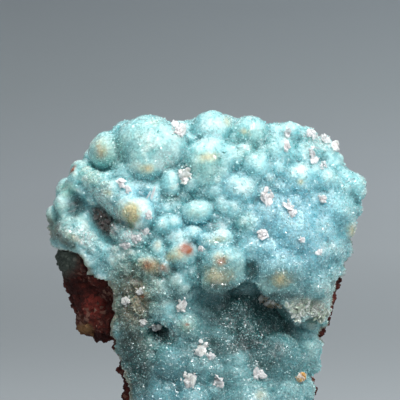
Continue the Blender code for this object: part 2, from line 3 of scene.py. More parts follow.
import bpy
import numpy as np
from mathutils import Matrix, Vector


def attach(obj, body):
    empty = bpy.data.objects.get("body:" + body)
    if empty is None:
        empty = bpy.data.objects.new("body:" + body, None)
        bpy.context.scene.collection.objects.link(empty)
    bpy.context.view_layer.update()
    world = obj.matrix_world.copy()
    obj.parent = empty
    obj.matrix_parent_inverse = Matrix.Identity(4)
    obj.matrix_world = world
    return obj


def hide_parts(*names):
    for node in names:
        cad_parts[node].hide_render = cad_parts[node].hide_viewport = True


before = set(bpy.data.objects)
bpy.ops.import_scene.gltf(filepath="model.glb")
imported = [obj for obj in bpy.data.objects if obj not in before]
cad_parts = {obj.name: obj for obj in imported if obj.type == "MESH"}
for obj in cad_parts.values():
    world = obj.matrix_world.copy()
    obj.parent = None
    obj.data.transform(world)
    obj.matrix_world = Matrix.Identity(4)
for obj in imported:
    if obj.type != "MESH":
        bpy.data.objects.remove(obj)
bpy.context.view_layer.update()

# THE LIMONITE ROCK
# The broken lump of red-brown iron ore that the blue crust grew on: earthy limonite with redder hematite
# patches, crumbly and rough. It was broken off its bed, so its faces are chips of a few millimetres.
MM = 0.001
BOX_MIDDLE = (-0.179, 0.650)  # where the origin stands in the front-view millimetres used below
FINE = 0.4  # spacing of the visible grids

# The smooth body that rock and crust both follow, as rings from the foot to the top:
# (left x, left z, right x, right z, front y, back y).
RINGS = [
    (-18.6, -8, 26, -8, -11, 13), (-18.6, 0, 26, 0, -11.5, 14), (-19.2, 10, 25.8, 10, -11.5, 15),
    (-20, 19, 26.2, 20, -11, 16), (-21.6, 27.6, 27.5, 28, -10.5, 17), (-30.3, 33, 31, 35, -11, 17.5),
    (-31, 40, 32.2, 43, -12.5, 17.5), (-35.5, 49, 35.2, 51, -13, 17), (-36, 58, 37.2, 58, -12.5, 16.5),
    (-34.5, 65, 38.4, 65, -11.5, 15.5), (-29, 72, 33.6, 71.5, -10, 14), (-25.2, 77, 29.8, 76, -8, 11.5),
    (-18.2, 80, 24.2, 79.3, -5.5, 8.5), (-9, 81.7, 15, 81.3, -2.5, 5), (1, 82.3, 3, 82.3, 0.6, 1.4),
]
BASE_LEVEL = 1 / (len(RINGS) - 1)
SECTION_POWER = 2.6  # between 2 for an ellipse and more for a squarer section
VIEW_MIDDLE, VIEW_DISTANCE = (-1.25, 62.5), 600.0  # the middle of the photo, and the lens to the origin
SAMPLED_COLUMNS, SAMPLED_LEVELS = 90, 420  # the coarse grid that spreads the rows of the fine ones

# Dents in the crust's own level: (x, z, half width, half height, depth, and the roll in degrees if tilted).
DENTS = [
    (-32.3, 61.2, 2.6, 3.6, 3), (-12.4, 29.4, 4, 3.2, 9, -15), (11.6, 45.2, 2.2, 3, 1.6),
    (-4, 63.5, 7, 3, 1.6, -10), (2, 56, 8, 2.2, 1.5, -5), (28, 73, 3, 2.2, 1.4, -30),
    (-26, 71, 4.5, 2, 1.8, -30), (-26, 57.2, 8.2, 4, 5, -54),
]

# The jagged lower edge of the ledge over the bowl, as (x, z) from left to right.
LEDGE = [(-6, 41.5), (-1.5, 42), (1, 41.2), (4.2, 41.0), (7.5, 42.2), (10, 44), (12.4, 43.4), (14.4, 40.6)]
LEDGE += [(17, 39), (19.5, 37.8), (20.6, 36.0), (21.4, 34.6), (22.2, 33.2), (23.2, 32.4), (24.2, 34.0)]
LEDGE += [(25.0, 34.4), (25.6, 35.8), (26.2, 34.8), (27.0, 34.2), (28.2, 32.8), (29.2, 32.6), (30.2, 34.0)]
LEDGE += [(33, 35.0)]
BOWL_DEPTH, BOWL_MIDDLE_X, BOWL_HALF_WIDTH = 9.0, 14.0, 17.0
BOWL_BRINK, BOWL_RUN_OUT = (-0.6, 1.6), (2.0, 19.0)  # below the ledge: where the bowl falls in and runs out

# The crust's left edge, as (z, x) from the foot up, and how far back the crust reaches round the specimen.
LEFT_EDGE = [(0, -16), (12.5, -18), (16, -17.5), (20, -18.8), (25, -21.3), (27.5, -21.8), (32.5, -23.2)]
LEFT_EDGE += [(35, -21.8), (40, -22.5), (43, -23.3), (44, -27.5), (47, -28.8), (49.5, -30), (50.5, -34)]
LEFT_EDGE += [(52, -55)]
WRAP_LOW, WRAP_HIGH, FOOT_WRAP = 0.5, 7.5, 3.5
WRAP_RISE = (55, 64)  # the heights between which the crust comes to reach round further
CRUST_THICKNESS = 3.0

# Where the bare rock bulges: (x, z, half width, half height, how far it stands out).
OUTCROPS = [(-35.5, 46.5, 7.0, 6.0, 1.8), (36.0, 50.0, 4.0, 4.0, 1.6)]
ROCK_CHIPS = [(8.0, 3.4), (3.4, 1.3), (1.6, 0.7), (0.8, 0.4)]  # size of the broken faces and their relief
CHIP_TILT, CHIP_DOME = 2.2, 1.1
BARE_LEVEL, BARE_LIMIT = -3.3, 4  # the bare rock's own level on the body, and the most it may stand out


def smooth_step(low, high, value):
    """0 below low, 1 above high, and an S curve between."""
    share = np.clip((value - low) / (high - low), 0, 1)
    return share * share * (3 - 2 * share)


def ring_values(level):
    """The ring at each level from 0 to 1, on a Catmull-Rom curve through the listed rings."""
    rings = np.array(RINGS)
    along = np.clip(level, 0, 1) * (len(rings) - 1)
    first = np.minimum(along.astype(int), len(rings) - 2)
    t = (along - first)[..., None]
    before, after = np.maximum(first - 1, 0), np.minimum(first + 2, len(rings) - 1)
    a, b, c, d = rings[before], rings[first], rings[first + 1], rings[after]
    return 0.5 * (2 * b + (c - a) * t + (2 * a - 5 * b + 4 * c - d) * t**2 + (3 * b - a - 3 * c + d) * t**3)


def body(angle, level):
    """A superellipse section at each level, with its half widths and tilt read from the rings.

    Angle 0 faces the front and turns to the right; level runs from the foot to the top.
    """
    left_x, left_z, right_x, right_z, front, back = np.moveaxis(ring_values(level), -1, 0)
    half_width, half_depth = (right_x - left_x) / 2, (back - front) / 2
    sine, cosine = np.sin(angle), np.cos(angle)
    reach = np.abs(sine / half_width) ** SECTION_POWER + np.abs(cosine / half_depth) ** SECTION_POWER
    reach = reach ** (-1 / SECTION_POWER)
    x = (left_x + right_x) / 2 + reach * sine
    share = np.clip((x - left_x) / (right_x - left_x), 0, 1)
    return np.stack([x, (front + back) / 2 - reach * cosine, left_z + (right_z - left_z) * share], axis=-1)


def outward(angle, level):
    """The body's unit normal: the cross product of its two tangents, by small steps."""
    step = 1e-3
    round_it = body(angle + step, level) - body(angle - step, level)
    up_it = body(angle, np.minimum(level + step, 1)) - body(angle, level - step)
    normal = np.cross(round_it, up_it)
    return normal / np.linalg.norm(normal, axis=-1, keepdims=True)


def dent(x, z, middle_x, middle_z, half_width, half_height, roll=0):
    """Distance from the middle of a tilted oval, as a share of its radius: 0 in the middle, 1 on the edge."""
    turn = math.radians(roll)
    across = (x - middle_x) * math.cos(turn) + (z - middle_z) * math.sin(turn)
    along = (z - middle_z) * math.cos(turn) - (x - middle_x) * math.sin(turn)
    return np.hypot(across / half_width, along / half_height)


def seen(place):
    """Where a place shows in the front view: what stands nearer to the lens is drawn larger."""
    scale = VIEW_DISTANCE / (VIEW_DISTANCE + place[..., 1])
    x = VIEW_MIDDLE[0] + (place[..., 0] - VIEW_MIDDLE[0]) * scale
    return x, VIEW_MIDDLE[1] + (place[..., 2] - VIEW_MIDDLE[1]) * scale


def soft_ovals(x, z, ovals, full, gone):
    """Each listed oval in turn: its strength inside one share of its radius, fading to 0 at another."""
    for middle_x, middle_z, half_width, half_height, strength, *roll in ovals:
        away = dent(x, z, middle_x, middle_z, half_width, half_height, *roll)
        yield strength * (1 - smooth_step(full, gone, away))


def across_bowl(x):
    """1 over the middle of the bowl and 0 beyond its ends: a flat-topped bell in x."""
    return np.exp(-(((x - BOWL_MIDDLE_X) / BOWL_HALF_WIDTH) ** 4))


def facing(normal, full):
    """0 along the outline and 1 where a normal's share towards the front is full."""
    return smooth_step(0.1, full, -normal[..., 1])


def relief(place, normal):
    """The crust's own level on the body: 0, less the bowl under the ledge and less each dent."""
    x, z = seen(place)
    below = np.interp(x, *zip(*LEDGE)) - z
    bowl = smooth_step(*BOWL_BRINK, below) * (1 - smooth_step(*BOWL_RUN_OUT, below))
    level = -BOWL_DEPTH * bowl * across_bowl(x)
    for pit in soft_ovals(x, z, DENTS, 0.35, 1.1):
        level = level - pit
    return level * facing(normal, 0.6)


def cover(place):
    """Distance inside the crust's rim: above 0 is crust, below 0 is bare rock.

    The lesser of the distances to the rim at the back and to the left edge, both made wavy by sines.
    """
    x, y, z = place[..., 0], place[..., 1], place[..., 2]
    wander = 0.9 * np.sin(z / 2.3) + 0.7 * np.sin(z / 1.1 + x / 3) + 0.8 * np.sin(x / 3.1 + 1)
    back = WRAP_LOW + (WRAP_HIGH - WRAP_LOW) * smooth_step(*WRAP_RISE, z) - y + wander
    back = back + FOOT_WRAP * smooth_step(10, 20, x) * smooth_step(30, 24, z)
    left = x - np.interp(z, *zip(*LEFT_EDGE))
    left = left + 0.3 * np.sin(z * 1.7) * np.sin(z * 0.47) + 0.25 * np.sin(z * 0.9)
    return np.minimum(back, left)


def lattice(ix, iy, iz, seed):
    """A repeatable random number from 0 to 1 for each whole-number corner."""
    mixed = (ix * 73856093) ^ (iy * 19349663) ^ (iz * 83492791) ^ (seed * 2654435761)
    mixed = (mixed ^ (mixed >> 13)) * 1274126177 & 0xFFFFFFFF
    return ((mixed ^ (mixed >> 16)) & 0xFFFFFF) / 0xFFFFFF


def facets(points, size, seed, tilt=CHIP_TILT, dome=CHIP_DOME):
    """The outermost of the tilted, slightly domed faces of chips scattered one to each cube of one size."""
    cell = np.floor(points / size).astype(np.int64)
    height = np.full(points.shape[:-1], -9.0)
    for step in np.ndindex(3, 3, 3):
        corner = cell + np.array(step) - 1
        draw = [lattice(corner[..., 0], corner[..., 1], corner[..., 2], seed + n) for n in range(6)]
        away = (points - (corner + np.stack(draw[:3], axis=-1)) * size) / size
        tilted = (away * (np.stack(draw[3:], axis=-1) - 0.5)).sum(axis=-1) * tilt
        height = np.maximum(height, tilted + draw[3] - dome * (away**2).sum(axis=-1))
    return height


def rock_height(place, normal):
    """The rock above the body: sunk evenly under the crust, and chips upon chips where it is bare."""
    inside = cover(place)
    x, z = place[..., 0], place[..., 2]
    bulge = sum(soft_ovals(x, z, OUTCROPS, 0.3, 1.3))
    broad, *fine = [deep * facets(place, size, 12) for size, deep in ROCK_CHIPS]
    swell = 1.6 * np.sin(x / 9 + 1) * np.sin(z / 12 + 0.5) + np.sin(x / 6 - z / 8)
    bare = BARE_LEVEL + broad + bulge + swell * smooth_step(0, 1, normal[..., 1])
    buried = np.minimum(relief(place, normal), 0) - CRUST_THICKNESS
    height = buried + (np.minimum(bare, BARE_LIMIT) - buried) * smooth_step(-1.0, 1.2, -inside)
    return height + sum(fine) * smooth_step(-1.0, 1.0, -inside)


def columns(dense_from, dense_to, fine, coarse):
    """Angles round the middle section, a fine distance apart between two angles, a coarse one elsewhere."""
    angle = np.linspace(dense_from, dense_from + 2 * math.pi, 4000)
    ring = body(angle, np.full_like(angle, 0.55))
    length = np.linalg.norm(np.diff(ring, axis=0), axis=-1)
    spacing = np.where(angle[1:] < dense_to, fine, coarse)
    count = np.concatenate([[0], np.cumsum(length / spacing)])
    steps = int(count[-1])
    return np.interp(np.arange(steps) * count[-1] / steps, count, angle)


def blur(field, rows, cols):
    """A Gaussian blur on a grid that closes round: sigma in rows and in columns."""
    for axis, sigma in ((0, rows), (1, cols)):
        reach = int(3 * sigma)
        if reach < 1:
            continue
        weights = np.exp(-0.5 * (np.arange(-reach, reach + 1) / sigma) ** 2)
        pad = [(0, 0), (0, 0)]
        pad[axis] = (reach, reach)
        wide = np.pad(field, pad, mode="wrap" if axis else "edge")
        stack = [w * np.take(wide, range(n, n + field.shape[axis]), axis=axis) for n, w in enumerate(weights)]
        field = sum(stack) / weights.sum()
    return field


def even_levels(angles, height, spacing):
    """Levels for each column so that rows lie evenly along the finished surface, not along the smooth body.

    A coarse grid is measured along each column, blurred from column to column, and inverted.
    """
    few = np.linspace(0, len(angles), SAMPLED_COLUMNS, endpoint=False).astype(int)
    level = np.linspace(BASE_LEVEL, 1, SAMPLED_LEVELS)
    angle_grid, level_grid = np.meshgrid(angles[few], level)
    place, normal = body(angle_grid, level_grid), outward(angle_grid, level_grid)
    surface = place + normal * height(place, normal)[..., None]
    step = np.linalg.norm(np.diff(surface, axis=0), axis=-1)
    step = blur(np.minimum(step, 1.2), 3, 2)
    run = np.concatenate([np.zeros((1, len(few))), np.cumsum(step, axis=0)])
    rows = int(np.median(run[-1]) / spacing)
    even = [np.interp(np.linspace(0, column[-1], rows), column, level) for column in run.T]
    even = np.stack(even, axis=1)
    wrapped = np.concatenate([even, even[:, :1]], axis=1)
    position = np.arange(len(angles))
    knots = np.append(few, len(angles))
    return np.stack([np.interp(position, knots, row) for row in wrapped])


def lofted_surface(angles, levels, height):
    """Corner places of a surface that stands a given height off the body, flat at the foot."""
    angle_grid = np.broadcast_to(angles, levels.shape)
    place, normal = body(angle_grid, levels), outward(angle_grid, levels)
    surface = place + normal * height(place, normal)[..., None]
    surface[..., 2] = np.maximum(surface[..., 2], 0)
    surface[0, :, 2] = 0
    return surface


def make_piece(name, points, faces, material, slot, **masks):
    """A mesh object from corner places in front-view millimetres, riding on the specimen's one body."""
    mesh = bpy.data.meshes.new(name)
    mesh.vertices.add(len(points))
    mesh.vertices.foreach_set("co", ((points - (*BOX_MIDDLE, 0)) * MM).astype(np.float32).ravel())
    mesh.loops.add(faces.size)
    mesh.loops.foreach_set("vertex_index", faces.astype(np.int32).ravel())
    mesh.polygons.add(len(faces))
    mesh.polygons.foreach_set("loop_start", np.arange(len(faces), dtype=np.int32) * faces.shape[1])
    mesh.update(calc_edges=True)
    mesh.validate()
    mesh.shade_flat()
    for mask, values in masks.items():
        layer = mesh.attributes.new(mask, "FLOAT", "POINT")
        layer.data.foreach_set("value", values.astype(np.float32).ravel())
    mesh.materials.append(material)
    piece = bpy.data.objects.new(name, mesh)
    bpy.context.scene.collection.objects.link(piece)
    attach(piece, "root")
    return piece


def closed_faces(rows, cols):
    """Triangles of a grid that closes round, with one more corner under its foot and one over its top."""
    index = np.arange(rows * cols).reshape(rows, cols)
    beside = np.roll(index, -1, axis=1)
    a, b, c, d = index[:-1], beside[:-1], beside[1:], index[1:]
    sheet = np.concatenate([np.stack([a, b, c], axis=-1), np.stack([a, c, d], axis=-1)]).reshape(-1, 3)
    foot = np.stack([np.full(cols, rows * cols), beside[0], index[0]], axis=-1)
    top = np.stack([np.full(cols, rows * cols + 1), index[-1], beside[-1]], axis=-1)
    return np.concatenate([sheet, foot, top])


def with_poles(surface):
    """The grid's corners, then the middle of its foot and of its top."""
    return np.concatenate([surface.reshape(-1, 3), [surface[0].mean(axis=0)], [surface[-1].mean(axis=0)]])


def linear(colour):
    """An sRGB hex colour as the linear values that a shader reads."""
    share = np.array([int(colour[n : n + 2], 16) for n in (1, 3, 5)]) / 255
    return (*np.where(share <= 0.04045, share / 12.92, ((share + 0.055) / 1.055) ** 2.4), 1.0)


def add(tree, kind, inputs, **settings):
    """A new shader node with its settings; each input is a value or another node's output."""
    node = tree.nodes.new("ShaderNode" + kind)
    for name, value in settings.items():
        setattr(node, name, value)
    for name, value in inputs.items():
        if isinstance(value, bpy.types.NodeSocket):
            tree.links.new(value, node.inputs[name])
        else:
            node.inputs[name].default_value = value
    return node


def new_material(name):
    """An empty material with its output, the node tree and the Object coordinates in millimetres."""
    material = bpy.data.materials.new(name)
    material.use_nodes = True
    tree = material.node_tree
    tree.nodes.clear()
    coordinates = add(tree, "TexCoord", {}).outputs["Object"]
    return material, tree, times(tree, coordinates, 1 / MM)


def blend(tree, share, first, second):
    """One colour fading into another by a share."""
    return add(tree, "Mix", {0: share, 6: first, 7: second}, data_type="RGBA").outputs[2]


def spread(tree, value, low, high, least=0.0, most=1.0):
    """A value stretched from low and high to least and most, and held between them."""
    return add(tree, "MapRange", {0: value, 1: low, 2: high, 3: least, 4: most}).outputs[0]


def times(tree, vector, factor):
    """A colour or a direction times one factor."""
    return add(tree, "VectorMath", {0: vector, "Scale": factor}, operation="SCALE").outputs[0]


def of_values(tree, operation, *values):
    """The result of one operation on single values."""
    return add(tree, "Math", dict(enumerate(values)), operation=operation).outputs[0]


def of_vectors(tree, operation, *vectors):
    """The result of one operation on colours or directions, channel by channel."""
    return add(tree, "VectorMath", dict(enumerate(vectors)), operation=operation).outputs[0]


def shades(tree, share, stops):
    """A colour read off a row of (share, colour) stops."""
    ramp = add(tree, "ValToRGB", {0: share})
    while len(ramp.color_ramp.elements) < len(stops):
        ramp.color_ramp.elements.new(0.5)
    for element, (position, colour) in zip(ramp.color_ramp.elements, stops):
        element.position, element.color = position, linear(colour)
    return ramp.outputs[0]


def noise(tree, place, size, detail, roughness):
    """Cloudy noise whose patches are about the given size in millimetres."""
    inputs = {"Vector": place, "Scale": 1 / size, "Detail": detail, "Roughness": roughness}
    return add(tree, "TexNoise", inputs).outputs[0]


def grain_colours(tree, place, size):
    """A random colour for each grain of the given size in millimetres."""
    return add(tree, "TexVoronoi", {"Vector": place, "Scale": 1 / size}).outputs["Color"]


def channel(tree, colour, number):
    """One channel of a colour."""
    return add(tree, "SeparateColor", {0: colour}).outputs[number]


def painted(tree, name):
    """A mask that is stored on the mesh's corners."""
    return add(tree, "Attribute", {}, attribute_name=name).outputs["Fac"]


ROCK_SHADES = [(0.30, "#300C08"), (0.44, "#541A12"), (0.54, "#6C261B"), (0.64, "#703E32"), (0.76, "#946655")]
PIT_BROWN, HEMATITE_RED, CLAY_PINK, FILM_GREEN, OCHRE = "#280B07", "#7E2F26", "#9A7464", "#485049", "#8E6A44"


def limonite():
    """Earthy limonite and hematite, broken: dull and dark red-brown, with redder patches and pinkish clay."""
    material, tree, place = new_material("limonite_broken")
    broad = noise(tree, place, 7, 5.0, 0.65)
    grain = noise(tree, place, 1.1, 6.0, 0.7)
    chip = channel(tree, grain_colours(tree, place, 0.9), 0)
    colour = blend(tree, spread(tree, grain, 0.35, 0.72), linear(PIT_BROWN), shades(tree, broad, ROCK_SHADES))
    red = spread(tree, chip, 0.85, 0.2, 0.0, painted(tree, "red"))
    colour = blend(tree, red, colour, linear(HEMATITE_RED))
    clay = of_values(tree, "MULTIPLY", chip, broad)
    clay = of_values(tree, "MULTIPLY_ADD", painted(tree, "clay"), 0.16, clay)
    colour = blend(tree, spread(tree, clay, 0.42, 0.56, 0.0, 0.6), colour, linear(CLAY_PINK))
    colour = blend(tree, painted(tree, "film"), colour, linear(FILM_GREEN))
    colour = blend(tree, painted(tree, "ochre"), colour, linear(OCHRE))
    bump = add(tree, "Bump", {"Height": grain, "Distance": 0.25 * MM, "Strength": 0.9}).outputs[0]
    shader = add(tree, "BsdfPrincipled", {
        "Base Color": colour, "Roughness": 0.82, "IOR": 1.9, "Specular IOR Level": 0.12, "Normal": bump,
    })
    add(tree, "OutputMaterial", {"Surface": shader.outputs[0]})
    return material


ROCK_FINE, ROCK_COARSE = FINE * 1.15, 2.4
BARE_FROM, BARE_TO = math.radians(62), math.radians(330)  # where the rock is bare, round from the front
rock_angles = columns(BARE_FROM, BARE_TO, ROCK_FINE, ROCK_COARSE)
rock_levels = even_levels(rock_angles, rock_height, ROCK_FINE)
rock_surface = lofted_surface(rock_angles, rock_levels, rock_height)
rock_points = with_poles(rock_surface)


def rock_masks(points):
    """Soft ovals: a green-grey film high on the outcrop, ochre dust low on it, pink clay and red hematite."""
    x, z = seen(points)
    front = smooth_step(7, 0, points[..., 1] + 2 * np.sin(z / 1.3))
    return {
        "film": front * (1 - smooth_step(0.5, 1.3, dent(x, z, -36.0, 48.5, 5.0, 5.5, 20))),
        "ochre": 0.9 * front * (1 - smooth_step(0.3, 1.2, dent(x, z, -30.2, 30.2, 2.8, 1.6))),
        "clay": 1 - smooth_step(0.4, 1.3, dent(x, z, -24.6, 38.0, 3.4, 5.0, -20)),
        "red": 1 - smooth_step(0.3, 1.2, dent(x, z, -27.5, 36.5, 3.4, 3.6, -30)),
    }


rock = make_piece(
    "limonite_rock", rock_points, closed_faces(*rock_surface.shape[:2]), limonite(), "limonite",
    **rock_masks(rock_points),
)
rock.data.shade_smooth()
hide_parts("limonite_matrix")

# THE ROCK'S GRAINS
# The limonite crumbles into angular grains of 0.5 to 1.6 mm. They are stuck in its bare faces by a small share
# of their size and roughen its edge.
ROCK_GRAINS, ROCK_GRAIN_SIZE, ROCK_GRAIN_SPREAD, ROCK_GRAIN_SUNK = 7000, 0.9, 0.35, 0.18
GRAINED_BACK_TO, GRAINED_FULLY_TO, BACK_SHARE = 12, 6, 0.3  # how far back in y, and how densely at the back
FEWER = 1

# An icosahedron: the corners of three golden rectangles, and its twenty faces.
GOLDEN = (1 + math.sqrt(5)) / 2
CHIP = [(-1, GOLDEN, 0), (1, GOLDEN, 0), (-1, -GOLDEN, 0), (1, -GOLDEN, 0), (0, -1, GOLDEN), (0, 1, GOLDEN)]
CHIP += [(0, -1, -GOLDEN), (0, 1, -GOLDEN), (GOLDEN, 0, -1), (GOLDEN, 0, 1), (-GOLDEN, 0, -1)]
CHIP = np.array(CHIP + [(-GOLDEN, 0, 1)]) / math.hypot(1, GOLDEN)
CHIP_FACES = [(0, 11, 5), (0, 5, 1), (0, 1, 7), (0, 7, 10), (0, 10, 11), (1, 5, 9), (5, 11, 4), (11, 10, 2)]
CHIP_FACES += [(10, 7, 6), (7, 1, 8), (3, 9, 4), (3, 4, 2), (3, 2, 6), (3, 6, 8), (3, 8, 9), (4, 9, 5)]
CHIP_FACES = np.array(CHIP_FACES + [(2, 4, 11), (6, 2, 10), (8, 6, 7), (9, 8, 1)])


def unit(vector):
    """Vectors of length one."""
    return vector / np.linalg.norm(vector, axis=-1, keepdims=True)


def surface_normal(surface):
    """Unit normals of a grid, from its two directions."""
    across = np.roll(surface, -1, axis=1) - np.roll(surface, 1, axis=1)
    return unit(np.cross(across, np.gradient(surface, axis=0)) + 1e-9)


def joined(points, faces):
    """Many like shapes as one list of corners and one of faces, from the faces of the first."""
    offset = np.arange(len(points))[:, None, None] * points.shape[1]
    return points.reshape(-1, 3), (faces[None] + offset).reshape(-1, 3)


def chips(places, sizes, draw):
    """Angular grains: icosahedra with their corners pulled in or out, squeezed and turned at random."""
    count = len(places)
    turn = np.linalg.qr(draw.normal(0, 1, (count, 3, 3)))[0]
    turn[:, 0] *= np.linalg.det(turn)[:, None]
    corners = CHIP * draw.uniform(0.7, 1.15, (count, len(CHIP), 1)) * draw.uniform(0.6, 1.0, (count, 1, 3))
    points = places[:, None] + (corners @ turn) * (sizes / 2)[:, None, None]
    return joined(points, CHIP_FACES)


draw = np.random.default_rng(3)
rock_normal = surface_normal(rock_surface)
bare = (cover(rock_surface) < 0.2) & (rock_surface[..., 1] < GRAINED_BACK_TO) & (rock_surface[..., 2] > 1)
bare = bare * np.where(rock_surface[..., 1] < GRAINED_FULLY_TO, 1, BACK_SHARE)
spots = draw.choice(bare.size, ROCK_GRAINS // FEWER, p=bare.ravel() / bare.sum())
sizes = draw.lognormal(math.log(ROCK_GRAIN_SIZE), ROCK_GRAIN_SPREAD, len(spots))
sunk = rock_normal.reshape(-1, 3)[spots] * ROCK_GRAIN_SUNK * sizes[:, None]
points, faces = chips(rock_surface.reshape(-1, 3)[spots] - sunk, sizes, draw)
masks = {name: np.repeat(mask[:: len(CHIP)], len(CHIP)) for name, mask in rock_masks(points).items()}
make_piece("limonite_grains", points, faces, rock.data.materials[0], "limonite", **masks)

# THE HEMIMORPHITE CRUST
# Zinc silicate that grew on the rock as radiating balls, joined into one knobbly skin 3 to 9 mm thick. It is
# waxy and lets light in: whitish on the balls' tops, blue-green on their flanks and deep teal in the creases.

